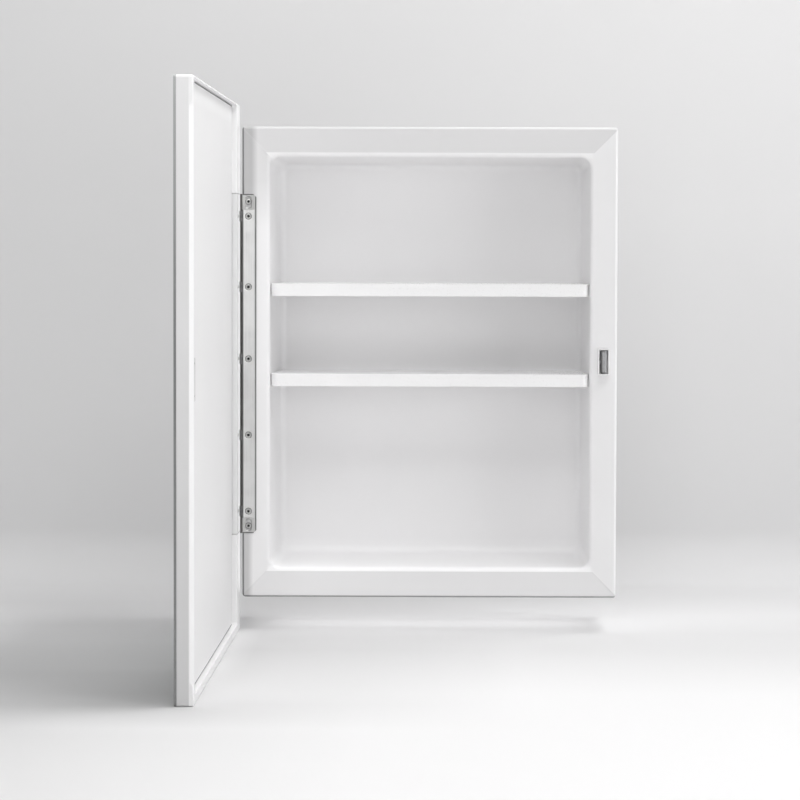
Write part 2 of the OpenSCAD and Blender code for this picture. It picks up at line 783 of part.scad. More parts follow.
module catch_pole_plates() {
    color([0.72, 0.73, 0.74]) difference() {
        for (x = [catch_x - magnet_t / 2 - pole_t, catch_x + magnet_t / 2])
            translate([x, pole_y, catch_z - pole_h / 2])
                cube([pole_t, magnet_d + pole_out, pole_h]);
        catch_pin_hole();
    }
}

module catch_pin() {
    color([0.6, 0.6, 0.6]) translate([catch_x - catch_out_w / 2, catch_pin_y, catch_z])
        rotate([0, 90, 0]) cylinder(d = catch_pin_d, h = catch_out_w);
}

// A ring of the closed door, set in from its outline by a margin
function door_ring(inset, r, y) =
    ring(door_x0 + inset, door_x1 - inset, door_z0 + inset, door_z1 - inset, r, y);
// A ring of the recess in the closed door, set in from the recess's outline by a margin
function recess_ring(inset, r, y) =
    ring(step_x + inset, free_x - inset, recess_z0 + inset, recess_z1 - inset, r, y);

// Rings of the frame: out of the recess, over its face, down the outside and into the tape's seat
function frame_rings() = [
    recess_ring(0, recess_r, web_y),
    recess_ring(0, recess_r, door_face_y - recess_edge),
    recess_ring(-recess_edge, recess_r + recess_edge, door_face_y),
    for (k = [edge_steps:-1:0])
        let (a = 90 * k / edge_steps, inset = door_edge_r * (1 - cos(a)))
        door_ring(inset, door_r - inset, door_face_y - door_edge_r * (1 - sin(a))),
    door_ring(0, door_r, glass_y + front_edge),
    door_ring(front_edge, door_r - front_edge, glass_y),
    door_ring(tape_margin, tape_seat_r, glass_y),
    door_ring(tape_margin, tape_seat_r, tape_y)
];

// The finger pull: a chamfer along the free edge that runs out before the corners
module finger_pull() {
    z0 = door_z0 + pull_bottom;
    z1 = door_z1 - pull_top;
    hull() {
        translate([door_x1, door_face_y, z0 + pull_run]) linear_extrude(z1 - z0 - 2 * pull_run)
            polygon([[-pull_c, 0], [-pull_c, past], [past, past], [past, -pull_c],
                     [0, -pull_c]]);
        translate([door_x1, door_face_y, z0]) cube([past, past, z1 - z0]);
    }
}

// The seat for the door's leaf, across the hinge stile and down its step
module door_leaf_seat() {
    translate([leaf_x0 - leaf_room, 0, 0]) slab(door_face_y + past, leaf_t + past)
        leaf_strip(step_x - leaf_x0 + leaf_room + past, leaf_room);
    translate([step_x - leaf_lap - leaf_t, 0, 0]) slab(door_face_y + past, panel_recess + past)
        leaf_strip(leaf_lap + leaf_t + past, leaf_room);
}

// A strip as long as the door's leaf and a margin
module leaf_strip(w, margin) {
    translate([0, hinge_z - base_plate_h / 2 - margin]) square([w, base_plate_h + 2 * margin]);
}

module door_frame() {
    color([0.95, 0.95, 0.96]) open_door() difference() {
        loft(frame_rings());
        finger_pull();
        door_leaf_seat();
        for (z = door_screw_z) {
            door_hole(leaf_screw_x, z, shank_d, door_face_y, door_screw_l + hole_end);
            door_sink(leaf_screw_x, z, door_face_y, door_sink_d);
        }
    }
}

// A screw's hole in the closed door, from its inner side towards the mirror
module door_hole(x, z, shank, y, depth) {
    translate([x, y + past, z]) rotate([90, 0, 0])
        cylinder(d = shank + 2 * screw_gap, h = depth + past);
}

// The countersink of such a hole, from its diameter at depth y
module door_sink(x, z, y, d) {
    mirror([0, 1, 0]) rod_y(x, -y, z, d, d / 2, eps);
}

// A screw driven into the door from its inner side
module door_screw(x, z, y, head, shank, length) {
    mirror([0, 1, 0]) screw(x, -y, z, head, shank, length);
}

module door_leaf() {
    y0 = door_face_y - leaf_t;
    color([0.9, 0.9, 0.9]) open_door() difference() {
        union() {
            translate([leaf_x0, 0, 0])
                slab(door_face_y, leaf_t) leaf_strip(step_x - leaf_lap - leaf_x0, 0);
            translate([step_x - leaf_lap - leaf_t, 0, 0])
                slab(door_face_y, panel_recess - panel_gap) leaf_strip(leaf_t, 0);
            for (z = leaf_screw_z) {
                knuckle(hinge_z + z);
                translate([leaf_x0, y0, hinge_z + z - knuckle_l / 2])
                    cube([leaf_t, pin_y - y0, knuckle_l]);
            }
        }
        pin_bore();
        for (z = door_screw_z) {
            door_hole(leaf_screw_x, z, shank_d, door_face_y, leaf_t + past);
            door_sink(leaf_screw_x, z, door_face_y, door_sink_d);
        }
    }
}

module door_leaf_screws() {
    color([0.9, 0.9, 0.9]) open_door() for (z = door_screw_z)
        door_screw(leaf_screw_x, z, door_face_y - (door_sink_d - door_head_d) / 2 + screw_gap,
                   door_head_d, shank_d, door_screw_l);
}

module mirror_glass() {
    color([0.62, 0.66, 0.68]) open_door() loft([
        door_ring(0, door_r, glass_y),
        door_ring(0, door_r, glass_y - bevel_edge),
        door_ring(bevel_w, door_r, glass_y - mirror_t)
    ]);
}

module mirror_tape() {
    color([0.25, 0.25, 0.25]) open_door() for (i = [0:tape_count - 1])
        let (x = (door_x1 - tape_margin - tape_w) * (2 * i / (tape_count - 1) - 1))
        translate([x - tape_w / 2, glass_y, door_z0 + 2 * tape_margin])
            cube([tape_w, tape_t, door_z1 - door_z0 - 4 * tape_margin]);
}

// A sheet that lies in the recess
module recess_sheet(y, thickness, gap) {
    slab(y, thickness) difference() {
        rounded_box_outline(step_x + gap, free_x - gap, recess_z0 + gap, recess_z1 - gap, recess_r);
        for (z = strike_screw_z)
            translate([catch_x, z]) circle(d = strike_shank_d + 2 * screw_gap);
    }
}

module filler_board() {
    color([0.75, 0.65, 0.5]) open_door() recess_sheet(board_y, board_t, board_gap);
}

module back_panel() {
    color([0.94, 0.94, 0.94]) open_door() recess_sheet(panel_y, panel_t, panel_gap);
}

module strike_plate() {
    color([0.75, 0.75, 0.75]) open_door() difference() {
        slab(strike_y, strike_t)
            rounded_box_outline(catch_x - strike_w / 2, catch_x + strike_w / 2,
                                catch_z - strike_h / 2, catch_z + strike_h / 2, strike_r);
        for (z = strike_screw_z) {
            door_hole(catch_x, z, strike_shank_d, strike_y, strike_t + past);
            door_sink(catch_x, z, strike_y, strike_sink_d);
        }
    }
}

module strike_screws() {
    color([0.6, 0.6, 0.6]) open_door() for (z = strike_screw_z)
        door_screw(catch_x, z, strike_y - (strike_sink_d - strike_head_d) / 2 + screw_gap,
                   strike_head_d, strike_shank_d, strike_screw_l);
}

cabinet_shell();
upper_shelf();
lower_shelf();
hinge_base_plate();
body_leaf();
hinge_pin();
body_leaf_screws();
base_plate_screws();
catch_housing();
catch_magnet();
catch_pole_plates();
catch_pin();
door_frame();
mirror_glass();
mirror_tape();
filler_board();
back_panel();
door_leaf();
door_leaf_screws();
strike_plate();
strike_screws();
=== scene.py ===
# %% [markdown]
# A medicine cabinet hangs on a bathroom wall: a moulded white body with two shelves, and a mirrored
# door on a long steel hinge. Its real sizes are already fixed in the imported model, so this lesson
# only gives it its looks. Every piece below is placed from the model's own measures. Blender works
# in metres, so a size in millimetres is written as a number times MM.

# %% Load the model
import bpy
import math
from mathutils import Matrix, Vector


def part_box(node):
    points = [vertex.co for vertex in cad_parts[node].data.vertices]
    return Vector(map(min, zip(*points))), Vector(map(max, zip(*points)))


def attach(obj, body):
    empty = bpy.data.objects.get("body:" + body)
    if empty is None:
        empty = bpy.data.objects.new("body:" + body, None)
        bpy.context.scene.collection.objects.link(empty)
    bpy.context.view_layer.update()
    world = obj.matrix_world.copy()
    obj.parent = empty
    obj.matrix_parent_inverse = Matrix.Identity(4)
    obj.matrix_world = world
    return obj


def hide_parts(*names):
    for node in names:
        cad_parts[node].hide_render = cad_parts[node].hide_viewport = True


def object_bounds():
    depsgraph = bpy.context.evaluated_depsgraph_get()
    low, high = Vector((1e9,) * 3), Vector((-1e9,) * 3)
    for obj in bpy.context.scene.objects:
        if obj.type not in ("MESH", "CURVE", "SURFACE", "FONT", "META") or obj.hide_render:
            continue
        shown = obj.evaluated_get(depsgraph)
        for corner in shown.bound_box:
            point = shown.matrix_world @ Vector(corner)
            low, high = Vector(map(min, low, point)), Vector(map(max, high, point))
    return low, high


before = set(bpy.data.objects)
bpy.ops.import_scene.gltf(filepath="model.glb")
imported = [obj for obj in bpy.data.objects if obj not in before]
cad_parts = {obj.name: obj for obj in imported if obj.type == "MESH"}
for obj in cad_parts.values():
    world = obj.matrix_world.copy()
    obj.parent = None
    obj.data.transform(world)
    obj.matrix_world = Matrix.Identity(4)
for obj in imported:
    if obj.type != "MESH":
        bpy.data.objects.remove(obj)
model_low, model_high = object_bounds()
print("model measures", [round(v, 4) for v in model_high - model_low], "metres")

MM = 0.001

# %% [markdown]
# The photograph was taken from straight in front, a little to the right of the cabinet's middle and
# about level with its upper shelf. Upright edges stay nearly upright in it, which a long lens shifted
# downwards gives. A large shift would push the cabinet out of the picture when it is looked at from
# its other sides, so most of the downward view comes from tilting the camera by two degrees instead.
# The numbers are the least-squares fit to edges read from the photograph.

# %% Camera
PHOTO_PIXELS = 800
FOCAL_PIXELS = 2398.8
CENTRE_PIXELS = (458, 340)
SENSOR_MM = 36
CAMERA_PLACE = (0.0311, -2.4122, 0.1065)
YAW_DEG, PITCH_DEG, ROLL_DEG = -0.092, 2.082, -0.18

camera_data = bpy.data.cameras.new("camera")
camera = bpy.data.objects.new("camera", camera_data)
bpy.context.scene.collection.objects.link(camera)
bpy.context.scene.camera = camera
camera_data.sensor_width = SENSOR_MM
camera_data.lens = SENSOR_MM * FOCAL_PIXELS / PHOTO_PIXELS
camera_data.shift_x = (PHOTO_PIXELS / 2 - CENTRE_PIXELS[0]) / PHOTO_PIXELS
camera_data.shift_y = (CENTRE_PIXELS[1] - PHOTO_PIXELS / 2) / PHOTO_PIXELS
camera.location = CAMERA_PLACE
turn = Matrix.Rotation(math.radians(-YAW_DEG), 3, "Z")
tilt = Matrix.Rotation(math.radians(90 - PITCH_DEG), 3, "X")
lean = Matrix.Rotation(math.radians(-ROLL_DEG), 3, "Z")
camera.rotation_euler = (turn @ tilt @ lean).to_euler()
print("lens", round(camera_data.lens, 1), "mm, tilt", PITCH_DEG)

# %% [markdown]
# Whites need an honest colour curve. The standard view keeps a white surface white, so the tones of
# the finishes and the lights reach the picture as they were set.

# %% View
bpy.context.scene.view_settings.view_transform = "Standard"
print("view", bpy.context.scene.view_settings.view_transform)


# %% [markdown]
# Blender's tools act on whatever is selected, so each step starts by clearing the selection and
# naming the one object it works on. These few helpers do that. They also choose faces and edges by
# their place, as a hand would with a box selection.

# %% Helpers for selecting
FACING = 0.9


def work_on(piece):
    if bpy.context.object and bpy.context.object.mode != "OBJECT":
        bpy.ops.object.mode_set(mode="OBJECT")
    bpy.ops.object.select_all(action="DESELECT")
    piece.select_set(True)
    bpy.context.view_layer.objects.active = piece


def edit(piece, kind="FACE", everything=False):
    work_on(piece)
    bpy.ops.object.mode_set(mode="EDIT")
    bpy.ops.mesh.select_mode(type=kind)
    bpy.ops.mesh.select_all(action="SELECT" if everything else "DESELECT")


def done():
    bpy.ops.object.mode_set(mode="OBJECT")


def choose_faces(piece, test):
    bpy.ops.object.mode_set(mode="OBJECT")
    for face in piece.data.polygons:
        face.select = bool(test(face.center, face.normal))
    bpy.ops.object.mode_set(mode="EDIT")


def choose_edges(piece, test):
    bpy.ops.object.mode_set(mode="OBJECT")
    points = piece.data.vertices
    for edge in piece.data.edges:
        edge.select = bool(test(*[points[v].co for v in edge.vertices]))
    bpy.ops.object.mode_set(mode="EDIT")


print("faces are chosen within", round(math.degrees(math.acos(FACING))), "degrees")


# %% [markdown]
# A new piece starts as a primitive, and ends with its place and its modifiers made part of its mesh.
# An edge is rounded by a bevel that only takes corners sharper than a set angle, and a curved face
# is shaded smooth up to another, so that flat faces beside it stay flat.

# %% Helpers for starting, rounding and joining
EDGE_DEG = 32
EDGE_SEGMENTS = 2
SMOOTH_DEG = 30


def set_in_place(piece):
    work_on(piece)
    bpy.ops.object.transform_apply(location=True, rotation=True, scale=True)


def started(primitive, **sizes):
    bpy.ops.object.select_all(action="DESELECT")
    primitive(**sizes)
    piece = bpy.context.object
    set_in_place(piece)
    return piece


def apply_all(piece):
    work_on(piece)
    for modifier in list(piece.modifiers):
        bpy.ops.object.modifier_apply(modifier=modifier.name)


def round_edges(piece, edge_mm, corners="MITER_SHARP"):
    bevel = piece.modifiers.new("edges", "BEVEL")
    bevel.limit_method = "ANGLE"
    bevel.angle_limit = math.radians(EDGE_DEG)
    bevel.width = edge_mm * MM
    bevel.segments = EDGE_SEGMENTS
    bevel.miter_outer = corners
    apply_all(piece)


def shade_rounds(piece):
    work_on(piece)
    bpy.ops.object.shade_smooth_by_angle(angle=math.radians(SMOOTH_DEG))


def joined(pieces, name):
    work_on(pieces[0])
    for piece in pieces[1:]:
        piece.select_set(True)
    if len(pieces) > 1:
        bpy.ops.object.join()
    whole = bpy.context.object
    whole.name = name
    return whole


print("edges sharper than", EDGE_DEG, "degrees are rounded in", EDGE_SEGMENTS, "steps")


# %% [markdown]
# A moulding tool or a press never leaves a knife edge, and the thin line of light along a rounded
# edge tells the eye how big a thing is. The model's own meshes stay as they are: a copy is merged,
# its flat faces are joined up, and its edges are rounded. The joined faces can be large outlines
# with inward corners, which a renderer may cut up wrongly, so they are first cut into outlines
# without any. Weighted normals then keep the large flat faces flat beside the small rounds.

# %% Helper that finishes a copy of a model piece
MERGE_M = 0.002 * MM
FLAT_DEG = 0.4
FULL_WEIGHT = 100


def finished_copy(node, body, edge_mm):
    piece = bpy.data.objects.new(node + "_finished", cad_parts[node].data.copy())
    bpy.context.scene.collection.objects.link(piece)
    piece.data.materials.clear()
    edit(piece, "VERT", everything=True)
    bpy.ops.mesh.customdata_custom_splitnormals_clear()
    bpy.ops.mesh.remove_doubles(threshold=MERGE_M)
    bpy.ops.mesh.dissolve_limited(angle_limit=math.radians(FLAT_DEG))
    done()
    round_edges(piece, edge_mm, corners="MITER_ARC")
    edit(piece, "FACE", everything=True)
    bpy.ops.mesh.vert_connect_concave()
    done()
    shade_rounds(piece)
    weighted = piece.modifiers.new("flat_faces", "WEIGHTED_NORMAL")
    weighted.keep_sharp = True
    weighted.weight = FULL_WEIGHT
    apply_all(piece)
    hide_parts(node)
    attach(piece, body)
    print(piece.name, len(piece.data.polygons), "faces")
    return piece


print("merge distance", MERGE_M)


# %% [markdown]
# Finishes are built from a few effects that come back in many of them. Each effect is one node group
# with named inputs, so a material only says how much of it there is and at what scale. These helpers
# make such a group and the few nodes that the effects share.

# %% Helpers for nodes
FLOAT, VECTOR = "NodeSocketFloat", "NodeSocketVector"


def new_group(name, inputs, outputs):
    tree = bpy.data.node_groups.new(name, "ShaderNodeTree")
    for label, kind, value in inputs:
        made = tree.interface.new_socket(label, in_out="INPUT", socket_type=kind)
        if value is not None:
            made.default_value = value
    for label in outputs:
        tree.interface.new_socket(label, in_out="OUTPUT", socket_type=FLOAT)
    return tree, tree.nodes.new("NodeGroupInput"), tree.nodes.new("NodeGroupOutput")


def noise(tree, vector, scale, detail, roughness):
    node = tree.nodes.new("ShaderNodeTexNoise")
    node.inputs["Detail"].default_value = detail
    node.inputs["Roughness"].default_value = roughness
    tree.links.new(vector, node.inputs["Vector"])
    tree.links.new(scale, node.inputs["Scale"])
    return node.outputs["Fac"]


def math_node(tree, operation, first, second):
    node = tree.nodes.new("ShaderNodeMath")
    node.operation = operation
    for socket, value in zip(node.inputs, (first, second)):
        if isinstance(value, (int, float)):
            socket.default_value = value
        else:
            tree.links.new(value, socket)
    return node.outputs[0]


def spread(tree, value, low, high):
    node = tree.nodes.new("ShaderNodeMapRange")
    node.inputs["From Min"].default_value = low
    node.inputs["From Max"].default_value = high
    tree.links.new(value, node.inputs["Value"])
    return node.outputs["Result"]


def put_out(tree, out, height, low, high):
    tree.links.new(height, out.inputs["Height"])
    tree.links.new(spread(tree, height, low, high), out.inputs["Mask"])


print("sockets are", FLOAT, "and", VECTOR)


# %% [markdown]
# Four effects are enough here. Slow clouds let a tone drift, and a moulded skin is the fine
# unevenness that a polished mould leaves. Both are noise, at very different scales. Drawn lines are
# noise pulled out long in one direction, as rolling does to a strip. Grains are cells, for what is
# sintered or foamed.

# %% Effects as node groups
def make_clouds():
    tree, at, out = new_group("slow_clouds", [("Place", VECTOR, None), ("Scale", FLOAT, 10.0)], ["Mask"])
    field = noise(tree, at.outputs["Place"], at.outputs["Scale"], detail=3.0, roughness=0.55)
    tree.links.new(spread(tree, field, low=0.32, high=0.68), out.inputs["Mask"])
    return tree


def make_skin():
    inputs = [("Place", VECTOR, None), ("Scale", FLOAT, 500.0)]
    tree, at, out = new_group("moulded_skin", inputs, ["Height", "Mask"])
    field = noise(tree, at.outputs["Place"], at.outputs["Scale"], detail=2.0, roughness=0.4)
    put_out(tree, out, field, low=0.3, high=0.7)
    return tree


def make_drawn_lines():
    inputs = [("Place", VECTOR, None), ("Scale", FLOAT, 700.0), ("Stretch", VECTOR, (1, 1, 0.02))]
    tree, at, out = new_group("drawn_lines", inputs, ["Height", "Mask"])
    pulled = tree.nodes.new("ShaderNodeVectorMath")
    pulled.operation = "MULTIPLY"
    tree.links.new(at.outputs["Place"], pulled.inputs[0])
    tree.links.new(at.outputs["Stretch"], pulled.inputs[1])
    field = noise(tree, pulled.outputs[0], at.outputs["Scale"], detail=4.0, roughness=0.6)
    put_out(tree, out, field, low=0.3, high=0.7)
    return tree


def make_grains():
    inputs = [("Place", VECTOR, None), ("Scale", FLOAT, 900.0)]
    tree, at, out = new_group("grains", inputs, ["Height", "Mask"])
    cells = tree.nodes.new("ShaderNodeTexVoronoi")
    tree.links.new(at.outputs["Place"], cells.inputs["Vector"])
    tree.links.new(at.outputs["Scale"], cells.inputs["Scale"])
    put_out(tree, out, cells.outputs["Distance"], low=0.1, high=0.7)
    return tree


clouds, skin, drawn_lines, grains = make_clouds(), make_skin(), make_drawn_lines(), make_grains()
print("effects", [tree.name for tree in (clouds, skin, drawn_lines, grains)])


# %% [markdown]
# A material puts those effects together. Colour, roughness and the bump of the surface vary over it,
# while whatever is the same all over, such as how metallic it is, is set on the shader itself. The
# patterns follow the object's own coordinates, so they stay put when the door swings. A tint
# multiplies the colour inside a mask, and a mask is a stretch of X, Y or Z with soft ends.

# %% Helpers for materials
COAT_ROUGHNESS = 0.12
SOFT = 0.4 * MM


class Finish:
    def __init__(self, name, metallic=0.0, coat=0.0):
        self.material = bpy.data.materials.new(name)
        self.material.use_nodes = True
        self.tree = self.material.node_tree
        self.shader = self.tree.nodes["Principled BSDF"]
        self.shader.inputs["Metallic"].default_value = metallic
        if coat > 0:
            self.shader.inputs["Coat Weight"].default_value = coat
            self.shader.inputs["Coat Roughness"].default_value = COAT_ROUGHNESS
        self.place = self.tree.nodes.new("ShaderNodeTexCoord").outputs["Object"]

    def effect(self, group, **values):
        node = self.tree.nodes.new("ShaderNodeGroup")
        node.node_tree = group
        self.tree.links.new(self.place, node.inputs["Place"])
        for label, value in values.items():
            node.inputs[label].default_value = value
        return node.outputs

    def colour(self, mask, first, second):
        blend = self.tree.nodes.new("ShaderNodeMix")
        blend.data_type = "RGBA"
        blend.inputs["A"].default_value = (*first, 1)
        blend.inputs["B"].default_value = (*second, 1)
        self.tree.links.new(mask, blend.inputs["Factor"])
        self.tree.links.new(blend.outputs["Result"], self.shader.inputs["Base Color"])

    def roughness(self, mask, low, high):
        level = self.tree.nodes.new("ShaderNodeMapRange")
        level.inputs["To Min"].default_value = low
        level.inputs["To Max"].default_value = high
        self.tree.links.new(mask, level.inputs["Value"])
        self.tree.links.new(level.outputs["Result"], self.shader.inputs["Roughness"])

    def bump(self, height, depth_mm):
        node = self.tree.nodes.new("ShaderNodeBump")
        node.inputs["Distance"].default_value = depth_mm * MM
        self.tree.links.new(height, node.inputs["Height"])
        self.tree.links.new(node.outputs["Normal"], self.shader.inputs["Normal"])

    def along(self, axis, start, end):
        parts = self.tree.nodes.new("ShaderNodeSeparateXYZ")
        self.tree.links.new(self.place, parts.inputs[0])
        return spread(self.tree, parts.outputs[axis], start, end)

    def past(self, axis, edge, direction):
        return self.along(axis, edge, edge + direction * SOFT)

    def tint(self, mask, tone):
        socket = self.shader.inputs["Base Color"]
        under = socket.links[0].from_socket
        over = self.tree.nodes.new("ShaderNodeMix")
        over.data_type = "RGBA"
        over.blend_type = "MULTIPLY"
        over.inputs["B"].default_value = (tone, tone, tone, 1)
        self.tree.links.new(under, over.inputs["A"])
        self.tree.links.new(mask, over.inputs["Factor"])
        self.tree.links.new(over.outputs["Result"], socket)


def where_all(*masks):
    result = masks[0]
    for mask in masks[1:]:
        result = math_node(mask.id_data, "MULTIPLY", result, mask)
    return result


def other_than(mask):
    return math_node(mask.id_data, "SUBTRACT", 1, mask)


def wear(piece, *finishes):
    piece.data.materials.clear()
    for finish in finishes:
        piece.data.materials.append(finish.material)


print("material helpers ready, a mask's edge is", SOFT / MM, "mm soft")


# %% [markdown]
# The white mouldings are injected polystyrene: a bright, slightly cool white with a soft gloss. Up
# close the skin has the faint orange peel of the mould's polish and very slow drifts of tone. A mix
# of two nearly equal whites and two scales of noise give that without making the surface look dirty.

# %% White plastics and paint
DRIFT_SCALE = 9.0
SMOOTHER, ROUGHER = 0.04, 0.05


def white_finish(name, light, shade, rough, peel_scale, peel_mm):
    finish = Finish(name)
    tone = finish.effect(clouds, Scale=DRIFT_SCALE)
    peel = finish.effect(skin, Scale=peel_scale)
    finish.colour(tone["Mask"], light, shade)
    finish.roughness(peel["Mask"], rough - SMOOTHER, rough + ROUGHER)
    finish.bump(peel["Height"], peel_mm)
    return finish


body_white = white_finish("moulded_white", (0.925, 0.92, 0.925), (0.912, 0.907, 0.913),
                          rough=0.36, peel_scale=620, peel_mm=0.001)
shelf_white = white_finish("shelf_white", (0.93, 0.927, 0.93), (0.918, 0.915, 0.918),
                           rough=0.3, peel_scale=620, peel_mm=0.0008)
door_white = white_finish("door_white", (0.94, 0.936, 0.94), (0.926, 0.922, 0.927),
                          rough=0.32, peel_scale=620, peel_mm=0.001)
panel_white = white_finish("panel_white", (0.83, 0.827, 0.828), (0.817, 0.814, 0.817),
                           rough=0.45, peel_scale=320, peel_mm=0.0015)
housing_white = white_finish("housing_white", (0.88, 0.875, 0.88), (0.86, 0.856, 0.861),
                             rough=0.36, peel_scale=300, peel_mm=0.006)
paint_white = white_finish("paint_white", (0.84, 0.84, 0.84), (0.82, 0.82, 0.825),
                           rough=0.34, peel_scale=240, peel_mm=0.0015)
print("white finishes made")


# %% [markdown]
# A white object is drawn by its small differences of tone. On the body, a trace of shade is painted on
# the rim's upper and lower faces, which end in the mitres where the side faces begin, and light is
# painted on the round that leads from them into the tub. Lights alone would need a lamp for every face,
# so this shade and light are tints in the finish, each limited to the place it belongs to.

# %% Painted shade and light on the rim's upper and lower faces
RIM_DEPTH = 12 * MM
TUB_FROM_SIDE, TUB_FROM_END = 26.3 * MM, 28.7 * MM
INNER_ROUND = 4.0 * MM
ROUND_FADE = 2 * MM
ROUND_END_W = 156 * MM
# Shade painted on the rim's faces, light painted on the round into the tub and on the tub's floor
RIM_FACE_PAINTED_SHADE, PAINTED_LIGHT_TONE = 0.85, 1.06

shell_low, shell_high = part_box("cabinet_shell")
tub_half_w = shell_high.x - TUB_FROM_SIDE
tub_half_h = shell_high.z - TUB_FROM_END


def beyond_mitre(sign):
    tree = body_white.tree
    parts = tree.nodes.new("ShaderNodeSeparateXYZ")
    tree.links.new(body_white.place, parts.inputs[0])
    up = math_node(tree, "MULTIPLY", parts.outputs["Z"], sign)
    out = math_node(tree, "ABSOLUTE", parts.outputs["X"], 0)
    mitre = tub_half_h - tub_half_w
    return spread(tree, math_node(tree, "SUBTRACT", up, out), mitre, mitre + SOFT)


in_front = body_white.past("Y", shell_low.y + RIM_DEPTH, -1)
for sign in (1, -1):
    face_start = sign * (tub_half_h + INNER_ROUND)
    face = body_white.past("Z", face_start, sign)
    # Painted shade on the rim's upper or lower face, up to the mitres
    body_white.tint(where_all(in_front, face, beyond_mitre(sign)), RIM_FACE_PAINTED_SHADE)
    # Painted light on the round that leads into the tub
    inwards = body_white.past("Z", face_start, -sign)
    outwards = body_white.along("Z", sign * (tub_half_h - ROUND_FADE), sign * tub_half_h)
    ends = [body_white.along("X", side * (ROUND_END_W + ROUND_FADE), side * ROUND_END_W) for side in (1, -1)]
    body_white.tint(where_all(in_front, inwards, outwards, *ends), PAINTED_LIGHT_TONE)
print("tub's opening", round(2 * tub_half_w / MM, 1), "by", round(2 * tub_half_h / MM, 1), "mm")


# %% [markdown]
# The body's left face stands beside the open door, which shades it, most of all close to the hinge
# and in its top corner, and that shade is painted into the finish. Its outer edge and the body's lower
# edge turn away from every light and are painted as dark lines of shade, while painted light stands for
# the light from above on the tub's floor. Each stretch below is measured in millimetres from the body's
# left or lower side, and runs from where the tint begins to where it is full.

# %% Painted shade on the body's left and lower side, painted light on the tub's floor
LEFT_FACE, LEFT_EDGE = (29, 23), (2, 1.2)
UPPER_SHADE, LOWER_SHADE = (15, 9), (10.5, 5.5)
SHADE_CHANGE = (227.5, 277.5)
TOP_CORNER = (357.5, 402.5)
LOWER_EDGE, TUB_FLOOR = (2.1, 1.3), (47.5, 35.5)
# Painted shade on the left side and lower edge
BESIDE_DOOR_PAINTED_SHADE, LEFT_FACE_PAINTED_SHADE, LEFT_EDGE_PAINTED_SHADE = 0.67, 0.95, 0.3
TOP_CORNER_PAINTED_SHADE, LOWER_EDGE_PAINTED_SHADE = 0.84, 0.42


def from_low_side(axis, stretch):
    edge = {"X": shell_low.x, "Z": shell_low.z}[axis]
    return body_white.along(axis, *[edge + distance * MM for distance in stretch])


# Painted shade beside the door, in the top corner, on the left edge and along the lower edge
for shade, change in ((UPPER_SHADE, SHADE_CHANGE), (LOWER_SHADE, SHADE_CHANGE[::-1])):
    body_white.tint(where_all(in_front, from_low_side("X", shade), from_low_side("Z", change)), BESIDE_DOOR_PAINTED_SHADE)
body_white.tint(where_all(in_front, from_low_side("X", LEFT_EDGE)), LEFT_EDGE_PAINTED_SHADE)
left_face = where_all(in_front, from_low_side("X", LEFT_FACE), other_than(beyond_mitre(1)),
                      other_than(beyond_mitre(-1)))
body_white.tint(where_all(left_face, from_low_side("Z", TOP_CORNER)), TOP_CORNER_PAINTED_SHADE)
body_white.tint(left_face, LEFT_FACE_PAINTED_SHADE)
body_white.tint(where_all(in_front, from_low_side("Z", LOWER_EDGE)), LOWER_EDGE_PAINTED_SHADE)
# Painted light on the tub's floor
body_white.tint(where_all(other_than(in_front), from_low_side("Z", TUB_FLOOR)), PAINTED_LIGHT_TONE)
print("left face begins at", round((shell_low.x + LEFT_FACE[0] * MM) / MM, 1), "mm")


# %% [markdown]
# The door's panel ends in a painted dark line of shadow above and below, at its joint with the tray,
# and painted light makes it brighter just under the upper one. The tray is painted a shade darker
# everywhere but at its finger pull, the thin lip along the free end, its upper rail and near the hinge,
# so it is whitest at the pull, and its end face is painted darker towards the bottom. Where the hinge
# leaf is let into the tray, a short painted shadow shows the step at either end of it. A joint as fine
# as these lines would need a gap in the model, and a tint doesn't.

# %% Painted shade and light on the door
LINE_W, JOINT_PAINTED_SHADOW = 1.0 * MM, 0.25
BRIGHT_START, BRIGHT_END, PANEL_PAINTED_LIGHT = 18 * MM, 3 * MM, 1.15
PULL_W = 3.4 * MM
STILE_START, STILE_END, TRAY_PAINTED_SHADE = 75 * MM, 83 * MM, 0.895
END_FACE_Y, END_FACE_X, END_FACE_Z, END_FACE_PAINTED_SHADE = (2, 1.5), (3.8, 4.2), (40, -220), 0.82
STEP_FADE, STEP_END, STEP_BESIDE, STEP_PAINTED_SHADOW = 0.3 * MM, 1.0 * MM, 1.0 * MM, 0.5

panel_low, panel_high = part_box("back_panel")
# Painted shadow in the joint above and below the panel
for edge, inwards in ((panel_high.z, -1), (panel_low.z, 1)):
    panel_white.tint(panel_white.past("Z", edge + inwards * LINE_W, -inwards), JOINT_PAINTED_SHADOW)
# Painted light just under the upper joint
panel_white.tint(panel_white.along("Z", panel_high.z - BRIGHT_START, panel_high.z - BRIGHT_END), PANEL_PAINTED_LIGHT)

tray_low, tray_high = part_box("door_frame")
pull = where_all(door_white.past("Y", tray_low.y + PULL_W + SOFT, -1),
                 door_white.past("X", tray_high.x - PULL_W - SOFT, 1))
below_rail = door_white.past("Z", panel_high.z, -1)
beyond_stile = door_white.along("Y", tray_high.y - STILE_START, tray_high.y - STILE_END)
# The tray painted a shade darker, except at the pull, the upper rail and near the hinge
door_white.tint(where_all(other_than(pull), below_rail, beyond_stile), TRAY_PAINTED_SHADE)
end_face = where_all(door_white.along("Y", *[tray_low.y + distance * MM for distance in END_FACE_Y]),
                     door_white.along("X", *[tray_high.x - distance * MM for distance in END_FACE_X]))
downwards = door_white.along("Z", *[height * MM for height in END_FACE_Z])
# Painted shade on the end face, darker towards the bottom
door_white.tint(where_all(end_face, downwards), END_FACE_PAINTED_SHADE)

leaf_low, leaf_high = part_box("door_leaf")
